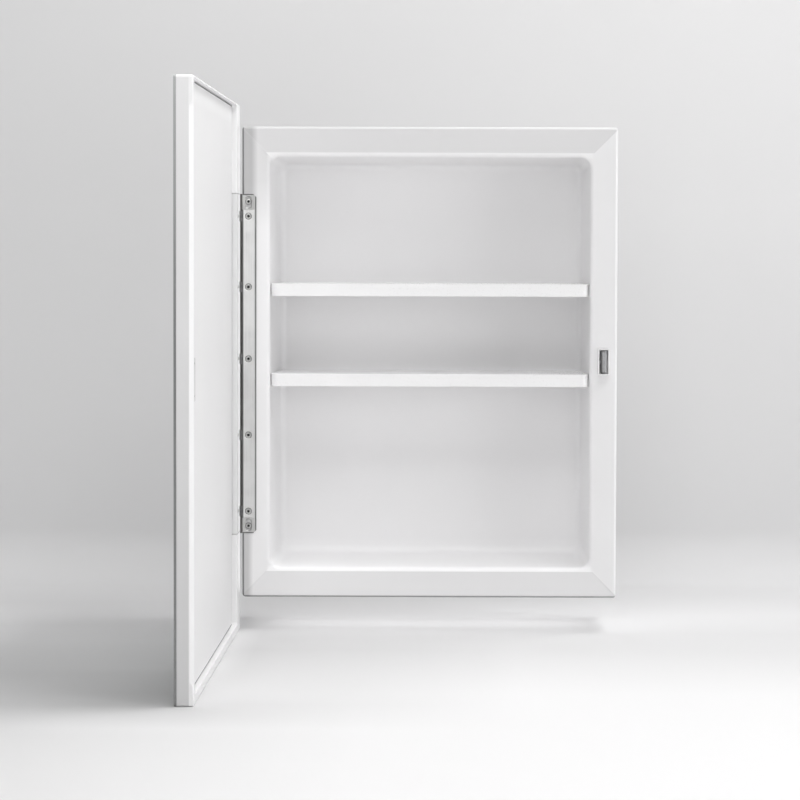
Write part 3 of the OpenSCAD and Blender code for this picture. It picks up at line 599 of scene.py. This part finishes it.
# Painted shadow of the step at either end of the hinge leaf
for edge, outwards in ((leaf_high.z, 1), (leaf_low.z, -1)):
    end = edge + outwards * STEP_END
    mark = where_all(door_white.along("Z", edge - outwards * STEP_FADE, edge),
                     door_white.along("Z", end, end - outwards * STEP_FADE),
                     door_white.along("Y", leaf_low.y - STEP_BESIDE, leaf_low.y))
    door_white.tint(mark, STEP_PAINTED_SHADOW)
print("finger pull", round(PULL_W / MM, 1), "mm wide, steps at", round(leaf_low.z, 4), round(leaf_high.z, 4))


# %% [markdown]
# The hinge is zinc-plated strip. Rolling and plating leave fine lines along its length and pale
# clouds in the zinc. The lines are a noise stretched along Z, and they drive roughness and bump
# together, so a highlight breaks up along them as it does on the real strip. Screws are forged and
# have no lines, and the pole plates of the catch were rolled along Y.

# %% Metals
STRIP_CLOUDS = 60.0
LINE_BUMP_MM = 0.004
POLISHED, WORN = 0.06, 0.1
ALONG_Z, ALONG_Y, EVEN = (1, 1, 0.02), (1, 0.05, 1), (1, 1, 1)
STRIP_LINES, PIN_LINES, POLE_LINES, SCREW_GRAIN = 900.0, 1500.0, 2000.0, 2400.0


def metal_finish(name, light, dark, rough, line_scale=STRIP_LINES, stretch=ALONG_Z):
    finish = Finish(name, metallic=1.0)
    tone = finish.effect(clouds, Scale=STRIP_CLOUDS)
    lines = finish.effect(drawn_lines, Scale=line_scale, Stretch=stretch)
    finish.colour(where_all(tone["Mask"], lines["Mask"]), light, dark)
    finish.roughness(lines["Mask"], rough - POLISHED, rough + WORN)
    finish.bump(lines["Height"], LINE_BUMP_MM)
    return finish


zinc = metal_finish("zinc_strip", (0.68, 0.68, 0.67), (0.53, 0.53, 0.52), 0.42)
plain_zinc = metal_finish("zinc_plate", (0.66, 0.66, 0.65), (0.5, 0.5, 0.49), 0.42)
zinc_leaf = metal_finish("zinc_leaf", (0.96, 0.96, 0.95), (0.83, 0.83, 0.82), 0.42)
screw_zinc = metal_finish("screw_zinc", (0.62, 0.62, 0.61), (0.4, 0.4, 0.39), 0.3, SCREW_GRAIN, EVEN)
# Painted shade: the screw's recess and the rim of its head are dark as shade
screw_recess_shade = metal_finish("screw_recess_shade", (0.05, 0.05, 0.05), (0.025, 0.025, 0.025), 0.5,
                            SCREW_GRAIN, EVEN)
screw_rim_shade = metal_finish("screw_rim_shade", (0.2, 0.2, 0.195), (0.12, 0.12, 0.117), 0.4, SCREW_GRAIN, EVEN)
pin_steel = metal_finish("pin_steel", (0.16, 0.155, 0.15), (0.08, 0.078, 0.075), 0.4, PIN_LINES)
pole_steel = metal_finish("pole_steel", (0.82, 0.83, 0.84), (0.61, 0.62, 0.63), 0.34, POLE_LINES, ALONG_Y)
shaded_steel = metal_finish("shaded_steel", (0.2, 0.2, 0.205), (0.13, 0.13, 0.133), 0.4, POLE_LINES, ALONG_Y)
print("metals made")


# %% [markdown]
# Three materials that hardly show are quite unlike each other. Ferrite is a dark sintered stone with
# tiny grains, here ground to a dull grey on its faces. Foam tape is full of pores, and hardboard is
# pressed from brown fibres that lie mostly along the board.

# %% Ferrite, foam and hardboard
FERRITE_GRAIN, FERRITE_BUMP_MM = 1800.0, 0.02
PORES, PORE_BUMP_MM = 1300.0, 0.12
FIBRES, FIBRE_PULL, FIBRE_BUMP_MM = 600.0, (1, 0.15, 0.3), 0.05

ferrite = Finish("ferrite")
ferrite_grain = ferrite.effect(grains, Scale=FERRITE_GRAIN)
ferrite.colour(ferrite_grain["Mask"], (0.4, 0.4, 0.405), (0.51, 0.51, 0.515))
ferrite.roughness(ferrite_grain["Mask"], low=0.45, high=0.7)
ferrite.bump(ferrite_grain["Height"], FERRITE_BUMP_MM)

foam = Finish("foam_tape")
pores = foam.effect(grains, Scale=PORES)
foam.colour(pores["Mask"], (0.012, 0.012, 0.012), (0.05, 0.05, 0.05))
foam.roughness(pores["Mask"], low=0.75, high=0.95)
foam.bump(pores["Height"], PORE_BUMP_MM)

hardboard = Finish("hardboard")
fibres = hardboard.effect(drawn_lines, Scale=FIBRES, Stretch=FIBRE_PULL)
hardboard.colour(fibres["Mask"], (0.34, 0.2, 0.1), (0.2, 0.11, 0.055))
hardboard.roughness(fibres["Mask"], low=0.55, high=0.8)
hardboard.bump(fibres["Height"], FIBRE_BUMP_MM)
print("ferrite, foam and hardboard made")

# %% [markdown]
# The door is seen from its inner side, but from the left it shows its mirror. Silvered glass is
# modelled as what the eye gets from it: a nearly perfect reflector with a faint cool cast on its
# face and bevel, a ground grey rim where it was cut, and grey paint on its back. The rim is painted
# lighter near its top, for the light from above that runs down inside the glass.

# %% Mirror finishes
SILVER_DRIFT = 6.0
RIM_LINES, RIM_PULL = 500.0, (1, 0.05, 0.05)
RIM_LIGHT_TOP, RIM_DARK_FROM, RIM_PAINTED_LIGHT_FALLOFF = 0.25, 0.05, 0.5
BACK_GRAIN, BACK_BUMP_MM = 300.0, 0.03

silver = Finish("silvered_glass", metallic=1.0)
silver_tone = silver.effect(clouds, Scale=SILVER_DRIFT)
silver.colour(silver_tone["Mask"], (0.88, 0.905, 0.895), (0.865, 0.895, 0.885))
silver.roughness(silver_tone["Mask"], low=0.01, high=0.025)

glass_rim = Finish("glass_rim", coat=0.4)
rim_tone = glass_rim.effect(drawn_lines, Scale=RIM_LINES, Stretch=RIM_PULL)
glass_rim.colour(rim_tone["Mask"], (0.5, 0.505, 0.505), (0.42, 0.425, 0.425))
# Painted light: the rim darkens away from its top
glass_rim.tint(glass_rim.along("Z", RIM_LIGHT_TOP, RIM_DARK_FROM), RIM_PAINTED_LIGHT_FALLOFF)
glass_rim.roughness(rim_tone["Mask"], low=0.2, high=0.35)

back_paint = Finish("mirror_back_paint")
paint_tone = back_paint.effect(skin, Scale=BACK_GRAIN)
back_paint.colour(paint_tone["Mask"], (0.3, 0.31, 0.32), (0.24, 0.25, 0.26))
back_paint.roughness(paint_tone["Mask"], low=0.5, high=0.65)
back_paint.bump(paint_tone["Height"], BACK_BUMP_MM)
print("mirror finishes made")

# %% [markdown]
# The body is one injection moulding: a sloping rim whose faces meet in mitres, a drafted tub inside
# it, and behind them a skirt, ribs and bosses that stiffen it. Its form is already exact in the
# model, so a copy gets its fine edges and its finish.

# %% Body
shell = finished_copy("cabinet_shell", "cabinet", edge_mm=0.25)
wear(shell, body_white)

# %% [markdown]
# The two shelves are mouldings of their own, glossier than the body, and each ends in a lip that
# keeps bottles from sliding off. The small round on the lip's edges catches the light in a line.

# %% Shelves
for name in ("upper_shelf", "lower_shelf"):
    shelf = finished_copy(name, "cabinet", edge_mm=0.3)
    wear(shelf, shelf_white)

# %% [markdown]
# The hinge's strips are blanked in a press, which leaves a small round on the upper side of each
# edge. The bevel stands for the round, and a dark border in the base plate's finish is painted shade
# along its edges. The base plate is duller than the leaf that lies on it. The knuckles of that leaf
# are painted dark as shade, and the leaf's tone is darker towards its lower end. The leaf on the door
# is painted white with the door up to its knuckles, and those knuckles are painted dark as shade.

# %% Painted shade on the hinge
BORDER, BORDER_FADE, BORDER_PAINTED_SHADE = 0.9 * MM, 0.3 * MM, 0.33
KNUCKLE_R, KNUCKLE_PAINTED_SHADE = 2.3 * MM, 0.25
LEAF_LIGHT_Z, LEAF_DARK_Z, LEAF_TONE = 40 * MM, -20 * MM, 0.86
PAINT_END, KNUCKLE_SHADE_FROM, DOOR_KNUCKLE_PAINTED_SHADE = 1.7 * MM, 2.1 * MM, 0.15

plate_low, plate_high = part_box("hinge_base_plate")
# Painted shade along the base plate's edges
for axis, edge, inwards in (("X", plate_high.x, -1), ("Z", plate_high.z, -1), ("Z", plate_low.z, 1)):
    start = edge + inwards * (BORDER + BORDER_FADE)
    zinc.tint(zinc.along(axis, start, start - inwards * BORDER_FADE), BORDER_PAINTED_SHADE)
pin_low, pin_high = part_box("hinge_pin")
knuckle_end = (pin_low.x + pin_high.x) / 2 + KNUCKLE_R
# Painted shade on the body leaf's knuckles
zinc_leaf.tint(zinc_leaf.along("X", knuckle_end, knuckle_end - BORDER_FADE), KNUCKLE_PAINTED_SHADE)
# The body leaf's tone darker towards its lower end
zinc_leaf.tint(zinc_leaf.along("Z", LEAF_LIGHT_Z, LEAF_DARK_Z), LEAF_TONE)
# Painted shade on the door leaf's knuckles
paint_white.tint(paint_white.along("X", tray_high.x + PAINT_END, tray_high.x + KNUCKLE_SHADE_FROM), DOOR_KNUCKLE_PAINTED_SHADE)
print("knuckles end at", round(knuckle_end, 4))

# %% [markdown]
# With its tones in place, each strip gets a finished copy with a bevel as fine as the press's round.
# The pin was cut from wire, and its ends are broken a little more.

# %% Hinge strips
base_plate = finished_copy("hinge_base_plate", "cabinet", edge_mm=0.12)
wear(base_plate, zinc)
body_leaf = finished_copy("body_leaf", "cabinet", edge_mm=0.12)
wear(body_leaf, zinc_leaf)
pin = finished_copy("hinge_pin", "cabinet", edge_mm=0.3)
wear(pin, pin_steel)
door_leaf = finished_copy("door_leaf", "door", edge_mm=0.12)
wear(door_leaf, paint_white)

# %% [markdown]
# The catch is a small housing with a magnet held between two steel pole plates, loose on a cross
# pin so that it can lie flat against the strike plate on the door. Such parts are cut from strip and
# bar, so their edges are only lightly broken. The left one of the two pole plates lies in the
# housing's shade, which is painted into it as a darker steel.

# %% Catch and strike plate
housing = finished_copy("catch_housing", "cabinet", edge_mm=0.25)
wear(housing, housing_white)
magnet = finished_copy("catch_magnet", "cabinet", edge_mm=0.3)
wear(magnet, ferrite)
poles = finished_copy("catch_pole_plates", "cabinet", edge_mm=0.12)
wear(poles, pole_steel, shaded_steel)
poles_low, poles_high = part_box("catch_pole_plates")
# Painted shade: the left pole plate wears the darker steel
for face in poles.data.polygons:
    face.material_index = int(face.center.x < (poles_low.x + poles_high.x) / 2)
cross_pin = finished_copy("catch_pin", "cabinet", edge_mm=0.15)
wear(cross_pin, pole_steel)
strike = finished_copy("strike_plate", "door", edge_mm=0.2)
wear(strike, plain_zinc)

# %% [markdown]
# The door is a shallow moulded tray. A smooth panel lies in it over a hardboard filler, and the
# mirror is stuck to its outer side with strips of foam tape.

# %% Door
door_frame = finished_copy("door_frame", "door", edge_mm=0.2)
wear(door_frame, door_white)
panel = finished_copy("back_panel", "door", edge_mm=0.2)
wear(panel, panel_white)
board = finished_copy("filler_board", "door", edge_mm=0.3)
wear(board, hardboard)
tape = finished_copy("mirror_tape", "door", edge_mm=0.15)
wear(tape, foam)

# %% [markdown]
# The mirror is one sheet with three different skins. Its outer face and bevel reflect, its cut rim
# is ground, and its back is painted. Each face of the sheet is told by the way it looks: the door
# stands open, so the mirror's front looks to the left, along -X.

# %% Mirror
FRONT_TURN, BACK_TURN = -0.6, 0.9
FRONT_SKIN, RIM_SKIN, BACK_SKIN = 0, 1, 2

glass = finished_copy("mirror_glass", "door", edge_mm=0.1)
wear(glass, silver, glass_rim, back_paint)
for face in glass.data.polygons:
    if face.normal.x < FRONT_TURN:
        face.material_index = FRONT_SKIN
    elif face.normal.x > BACK_TURN:
        face.material_index = BACK_SKIN
    else:
        face.material_index = RIM_SKIN
print("reflecting faces", sum(face.material_index == FRONT_SKIN for face in glass.data.polygons))


# %% [markdown]
# The cross tip of a screwdriver needs a recess with tapered wings and a pit between them. It is cut
# with three pegs: two flat blocks that cross and narrow downwards, and a cone in the middle. Each
# block is a cube whose lower face is drawn together.

# %% Pegs that cut the recess
RECESS_MM = 1.7
WING_L, WING_W, WING_TAPER = 0.5, 0.16, 0.5
PIT_D, PIT_POINT_MM, PIT_SIDES, PIT_DEPTH = 0.3, 0.1, 16, 2.2


def recess_cutter(head_mm):
    pegs = []
    for quarters in (0, 1):
        wing = (head_mm * WING_L * MM, head_mm * WING_W * MM, 2 * RECESS_MM * MM)
        peg = started(bpy.ops.mesh.primitive_cube_add, size=1, location=(0, 0, 0), scale=wing,
                      rotation=(0, 0, math.radians(90 * quarters)))
        edit(peg)
        choose_faces(peg, lambda at, normal: normal.z < -FACING)
        bpy.ops.transform.resize(value=(WING_TAPER, WING_TAPER, 1), center_override=(0, 0, -RECESS_MM * MM))
        done()
        pegs.append(peg)
    pegs.append(started(bpy.ops.mesh.primitive_cone_add, vertices=PIT_SIDES, radius1=PIT_POINT_MM * MM,
                        radius2=head_mm * PIT_D * MM, depth=PIT_DEPTH * RECESS_MM * MM, location=(0, 0, 0)))
    return pegs


print("recess", RECESS_MM, "mm deep")


# %% [markdown]
# Thirteen screws show nearly the same head, so one is made well and then copied. On the real screw
# the head is forged and the shank is rolled. Here a cone makes the head, and its under side is pulled
# out into the shank and the point. Its face keeps a flat rim, painted dark as the shade around the head,
# and rises inside it in two steps to a low dome, and a boolean with the pegs cuts the recess, which is
# painted dark as shade.

# %% One screw
TURNS = 48
POINT_SHARE = 0.25
RIM_SHARE, FACE_SHARE = 0.14, 0.3
RISE_MM, RISE_STEPS = 0.35, (0.6, 0.4)
EDGE_MM = 0.05
RECESS_SLOT, RIM_SLOT = 1, 2
# Which faces are rim or recess, in shares of the rim's width, the recess's depth, the head's radius
# and the dome's rise
RIM_REACH, RECESS_REACH, RECESS_OUT, FACE_LEVEL = 1.2, 1.1, 0.62, 0.05


def cut_recess(screw, head_mm):
    for peg in recess_cutter(head_mm):
        cut = screw.modifiers.new("recess", "BOOLEAN")
        cut.operation = "DIFFERENCE"
        cut.solver = "EXACT"
        cut.object = peg
        apply_all(screw)
        bpy.data.objects.remove(peg)


def give_skins(screw, head_mm, finishes):
    wear(screw, *finishes)
    for face in screw.data.polygons:
        out = face.center.xy.length / (head_mm / 2 * MM)
        in_recess = -RECESS_REACH * RECESS_MM * MM < face.center.z < FACE_LEVEL * RISE_MM * MM
        if out > 1 - RIM_REACH * RIM_SHARE:
            face.material_index = RIM_SLOT
        elif in_recess and out < RECESS_OUT:
            face.material_index = RECESS_SLOT


def make_screw(name, head_mm, shank_mm, length_mm, finishes):
    cone_mm = (head_mm - shank_mm) / 2
    straight_mm = length_mm - cone_mm - shank_mm
    screw = started(bpy.ops.mesh.primitive_cone_add, vertices=TURNS, radius1=shank_mm / 2 * MM,
                    radius2=head_mm / 2 * MM, depth=cone_mm * MM, location=(0, 0, -cone_mm / 2 * MM))
    screw.name = name
    edit(screw)
    choose_faces(screw, lambda at, normal: normal.z < -FACING)
    for down_mm in (straight_mm, shank_mm):
        bpy.ops.mesh.extrude_region_move(TRANSFORM_OT_translate={"value": (0, 0, -down_mm * MM)})
    bpy.ops.transform.resize(value=(POINT_SHARE, POINT_SHARE, 1), center_override=(0, 0, -length_mm * MM))
    choose_faces(screw, lambda at, normal: normal.z > FACING)
    bpy.ops.mesh.inset(thickness=RIM_SHARE * head_mm / 2 * MM)
    for step in RISE_STEPS:
        bpy.ops.mesh.inset(thickness=FACE_SHARE * head_mm / 4 * MM)
        bpy.ops.transform.translate(value=(0, 0, step * RISE_MM * MM))
    done()
    cut_recess(screw, head_mm)
    round_edges(screw, EDGE_MM)
    shade_rounds(screw)
    give_skins(screw, head_mm, finishes)
    print(name, len(screw.data.polygons), "faces")
    return screw


print("screw helpers ready")


# %% [markdown]
# Each row of screws stands in for one node of the model. The heights come from the model's own
# screws, each copy is turned a little further than the last as real screws end up, and each row has
# a pattern of its own size. On the body the heads look forwards, and on the open door they look to
# the right. Those in the door's leaf were painted over with it.

# %% Rows of screws
ROW_GAP = 3 * MM
NEXT_TURN_DEG = 37
BARE, PAINTED = (screw_zinc, screw_recess_shade, screw_rim_shade), (paint_white, paint_white, paint_white)


def heights(node):
    found = sorted(point.co.z for point in node.data.vertices)
    groups = [[found[0]]]
    for z in found[1:]:
        if z - groups[-1][-1] > ROW_GAP:
            groups.append([])
        groups[-1].append(z)
    return [(group[0] + group[-1]) / 2 for group in groups]


def row_of_screws(node_name, body, head_mm, shank_mm, length_mm, looks_right, finishes, first_deg):
    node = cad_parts[node_name]
    low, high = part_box(node_name)
    pattern = make_screw(node_name + "_pattern", head_mm, shank_mm, length_mm, finishes)
    copies = []
    for count, z in enumerate(heights(node)):
        copy = pattern.copy()
        copy.data = pattern.data.copy()
        bpy.context.scene.collection.objects.link(copy)
        own_turn = Matrix.Rotation(math.radians(first_deg + NEXT_TURN_DEG * count), 4, "Z")
        if looks_right:
            aim = Matrix.Rotation(math.radians(90), 4, "Y")
            place = Vector((high.x, (low.y + high.y) / 2, z))
        else:
            aim = Matrix.Rotation(math.radians(90), 4, "X")
            place = Vector(((low.x + high.x) / 2, low.y, z))
        copy.matrix_world = Matrix.Translation(place) @ aim @ own_turn
        set_in_place(copy)
        copies.append(copy)
    bpy.data.objects.remove(pattern)
    row = joined(copies, node_name + "_finished")
    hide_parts(node_name)
    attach(row, body)
    print(node_name, len(copies), "screws", len(row.data.polygons), "faces")


row_of_screws("body_leaf_screws", "cabinet", head_mm=6.6, shank_mm=3.0, length_mm=9.0,
              looks_right=False, finishes=BARE, first_deg=20)
row_of_screws("base_plate_screws", "cabinet", head_mm=6.2, shank_mm=3.0, length_mm=9.0,
              looks_right=False, finishes=BARE, first_deg=45)
row_of_screws("door_leaf_screws", "door", head_mm=6.0, shank_mm=3.0, length_mm=8.0,
              looks_right=True, finishes=PAINTED, first_deg=10)
row_of_screws("strike_screws", "door", head_mm=4.6, shank_mm=2.2, length_mm=5.5,
              looks_right=True, finishes=BARE, first_deg=30)

# %% [markdown]
# The studio is a pale sweep: a floor that the open door almost touches, and a wall some way behind
# the cabinet, joined by a cove so that no line shows between them. The ground gets lighter towards
# the front and up the wall, and this light is painted into the sweep: grading the paint gives it with
# soft edges, which more lights would not, and it never falls on the cabinet itself.

# %% Paint of the studio, with painted light
STUDIO_DRIFT = 0.8
FLOOR_GAP = 0.3 * MM
FLOOR_FADE_Y = (0.15, -0.85)
WALL_FADE_RISE = 0.42
WALL_FADE_SHARE = 0.5
floor_z = model_low.z - FLOOR_GAP

stage_paint = Finish("studio_paint")
stage_tone = stage_paint.effect(clouds, Scale=STUDIO_DRIFT)
stage_paint.colour(stage_tone["Mask"], (0.86, 0.857, 0.86), (0.85, 0.847, 0.85))
stage_paint.roughness(stage_tone["Mask"], low=0.85, high=0.95)

backdrop_paint = Finish("backdrop_paint")
backdrop_tone = backdrop_paint.effect(clouds, Scale=STUDIO_DRIFT)
# Painted light: lighter towards the front and up the wall
forward = backdrop_paint.along("Y", *FLOOR_FADE_Y)
upward = backdrop_paint.along("Z", floor_z, floor_z + WALL_FADE_RISE)
upward = math_node(backdrop_paint.tree, "MULTIPLY", upward, WALL_FADE_SHARE)
painted_light_grade = math_node(backdrop_paint.tree, "MAXIMUM", forward, upward)
backdrop_paint.colour(painted_light_grade, (0.72, 0.718, 0.722), (0.93, 0.927, 0.928))
backdrop_paint.roughness(backdrop_tone["Mask"], low=0.85, high=0.95)
print("floor at", round(floor_z, 4))


# %% [markdown]
# The shadows in the photograph come from more lamps than one room would hold, so the softest of them
# are painted on the floor as wide patches without an edge. Each stretch gives an axis, where the
# patch begins and where it is full, in metres. The sweep is also clear from behind, so that the
# cabinet's back can be looked at.

# %% Soft patches on the floor
LEFT_OF_DOOR, RIGHT_OF_DOOR = ("X", -0.16, -0.23), ("X", -0.23, -0.16)


def floor_tone(tone, *stretches):
    backdrop_paint.tint(where_all(*[backdrop_paint.along(*stretch) for stretch in stretches]), tone)


def clear_from_behind(finish):
    nodes, links = finish.tree.nodes, finish.tree.links
    see_through = nodes.new("ShaderNodeBsdfTransparent")
    chooser = nodes.new("ShaderNodeMixShader")
    side = nodes.new("ShaderNodeNewGeometry")
    links.new(side.outputs["Backfacing"], chooser.inputs["Fac"])
    links.new(finish.shader.outputs["BSDF"], chooser.inputs[1])
    links.new(see_through.outputs["BSDF"], chooser.inputs[2])
    links.new(chooser.outputs["Shader"], nodes["Material Output"].inputs["Surface"])


# Painted light on the floor left of the door's rear half
floor_tone(1.2, LEFT_OF_DOOR, ("Y", 0.1, -0.08), ("Y", -0.33, -0.15))
# The shade at the left foot of the door's free half
floor_tone(0.7, LEFT_OF_DOOR, ("X", -0.38, -0.2), ("Y", -0.3, -0.42), ("Y", -0.57, -0.48))
# The shade under the body and in front of it
floor_tone(0.91, RIGHT_OF_DOOR, ("Y", 0.02, -0.1), ("Y", -0.42, -0.2))
# The wide shade in front of the door
floor_tone(0.88, ("X", -0.05, -0.35), ("Y", -0.45, -0.6))
# The shade at the right foot of the door
floor_tone(0.8, RIGHT_OF_DOOR, ("X", 0.08, -0.17), ("Y", -0.08, -0.2), ("Y", -0.57, -0.47))
clear_from_behind(backdrop_paint)
print("studio paint made")

# %% [markdown]
# The sweep starts as a plane that lies a hair above the plain floor. Its rear edge is pulled up into
# the wall, and the fold is rounded by a wide bevel.

# %% Floor and backdrop
FLOOR_HALF = 5.0
BACKDROP_Y, BACKDROP_RISE, BACKDROP_LIFT = 0.27, 2.4, 0.2 * MM
COVE_R, COVE_SEGMENTS = 0.06, 16

floor = started(bpy.ops.mesh.primitive_plane_add, size=2 * FLOOR_HALF, location=(0, 0, floor_z))
floor.name = "studio_floor"
wear(floor, stage_paint)

backdrop = started(bpy.ops.mesh.primitive_plane_add, size=2 * FLOOR_HALF,
                   location=(0, BACKDROP_Y - FLOOR_HALF, floor_z + BACKDROP_LIFT))
backdrop.name = "studio_backdrop"
edit(backdrop, "EDGE")
choose_edges(backdrop, lambda a, b: all(abs(p.y - BACKDROP_Y) < MM for p in (a, b)))
bpy.ops.mesh.extrude_region_move(TRANSFORM_OT_translate={"value": (0, 0, BACKDROP_RISE)})
choose_edges(backdrop, lambda a, b: all(abs(p.y - BACKDROP_Y) < MM and p.z < floor_z + MM for p in (a, b)))
bpy.ops.mesh.bevel(offset=COVE_R, segments=COVE_SEGMENTS, affect="EDGES")
done()
bpy.ops.object.shade_smooth()
wear(backdrop, backdrop_paint)
print("backdrop faces", len(backdrop.data.polygons))


# %% [markdown]
# The strongest light is large and soft and hangs high on the right. A weaker one in front lights the
# door's top and the floor, one lights the wall, and soft ones from the front and both sides fill the
# tub. Four small lights reach places that the large ones don't: under the body, behind it, in the gap
# between the body and the open door, and at the door's free end. The front light is kept out of
# reflections, because the closed mirror would show it as a white block.

# %% Lights
UNDER_BODY = 2 * MM
IN_GAP = 0.3 * MM


def soft_light(name, place, target, size, watts, depth=None):
    data = bpy.data.lights.new(name, "AREA")
    data.shape = "RECTANGLE"
    data.size = size
    data.size_y = depth or size
    data.energy = watts
    light = bpy.data.objects.new(name, data)
    bpy.context.scene.collection.objects.link(light)
    light.location = place
    light.rotation_euler = (Vector(target) - Vector(place)).to_track_quat("-Z", "Y").to_euler()
    light.visible_camera = False
    return light


soft_light("key_light", place=(1.2, -0.1, 2.4), target=(0.2, -0.1, 0), size=1.2, watts=42)
soft_light("door_top_light", place=(0, -1.1, 1.3), target=(-0.1, -0.4, 0), size=0.7, watts=6.2)
soft_light("wall_light", place=(0.8, -1.0, 1.9), target=(0.7, 0.27, 1.0), size=0.8, watts=10)
front_light = soft_light("front_light", place=(0, -3.6, 0.6), target=(0, -0.2, 0), size=1.8, watts=16.5)
front_light.visible_glossy = False
soft_light("right_light", place=(2.4, -1.7, 0.1), target=(-0.1, -0.2, 0), size=1.0, watts=13)
soft_light("left_light", place=(-2.4, -1.7, 0.1), target=(0.1, -0.1, 0), size=1.0, watts=8.5)
soft_light("left_front_light", place=(-2.0, -2.4, 1.0), target=(0, -0.2, 0), size=1.4, watts=4)
soft_light("low_right_light", place=(2.4, -0.6, 0.2), target=(0, -0.4, -0.1), size=1.2, watts=1.8)
soft_light("under_light", place=(0, -0.045, shell_low.z - UNDER_BODY), target=(0, -0.045, -1),
           size=0.34, depth=0.08, watts=0.056)
soft_light("behind_light", place=(-0.01, 0.03, -0.2), target=(-0.01, 0.12, -0.262),
           size=0.38, depth=0.05, watts=0.035)
soft_light("gap_light", place=(shell_low.x - IN_GAP, -0.0845, -0.0015), target=(-1, -0.0845, -0.0015),
           size=0.017, depth=0.445, watts=0.018)
soft_light("door_end_light", place=(-0.186, -0.62, 0.5), target=(-0.186, -0.48, 0.2), size=0.1, watts=0.22)

# %% [markdown]
# A mirror needs something to mirror. The room around the studio is a plain gradient, light at the
# horizon and darker above, and it is seen by the camera and by reflections only. It gives no light of
# its own, so the tones set by the lights stay as they are.

# %% Room for the reflections
ROOM_STRENGTH = 0.75
HORIZON, ABOVE = (0.9, 0.9, 0.91, 1), (0.3, 0.3, 0.31, 1)
ABOVE_FROM = 0.35

world = bpy.data.worlds.new("studio")
bpy.context.scene.world = world
world.use_nodes = True
room = world.node_tree
parts = room.nodes.new("ShaderNodeSeparateXYZ")
room.links.new(room.nodes.new("ShaderNodeTexCoord").outputs["Generated"], parts.inputs[0])
gradient = room.nodes.new("ShaderNodeMix")
gradient.data_type = "RGBA"
gradient.inputs["A"].default_value = HORIZON
gradient.inputs["B"].default_value = ABOVE
room.links.new(spread(room, parts.outputs["Z"], 0.0, ABOVE_FROM), gradient.inputs["Factor"])
room.links.new(gradient.outputs["Result"], room.nodes["Background"].inputs["Color"])
room.nodes["Background"].inputs["Strength"].default_value = ROOM_STRENGTH
world.cycles_visibility.diffuse = False
world.cycles_visibility.scatter = False
world.cycles_visibility.transmission = False
print("room strength", ROOM_STRENGTH)
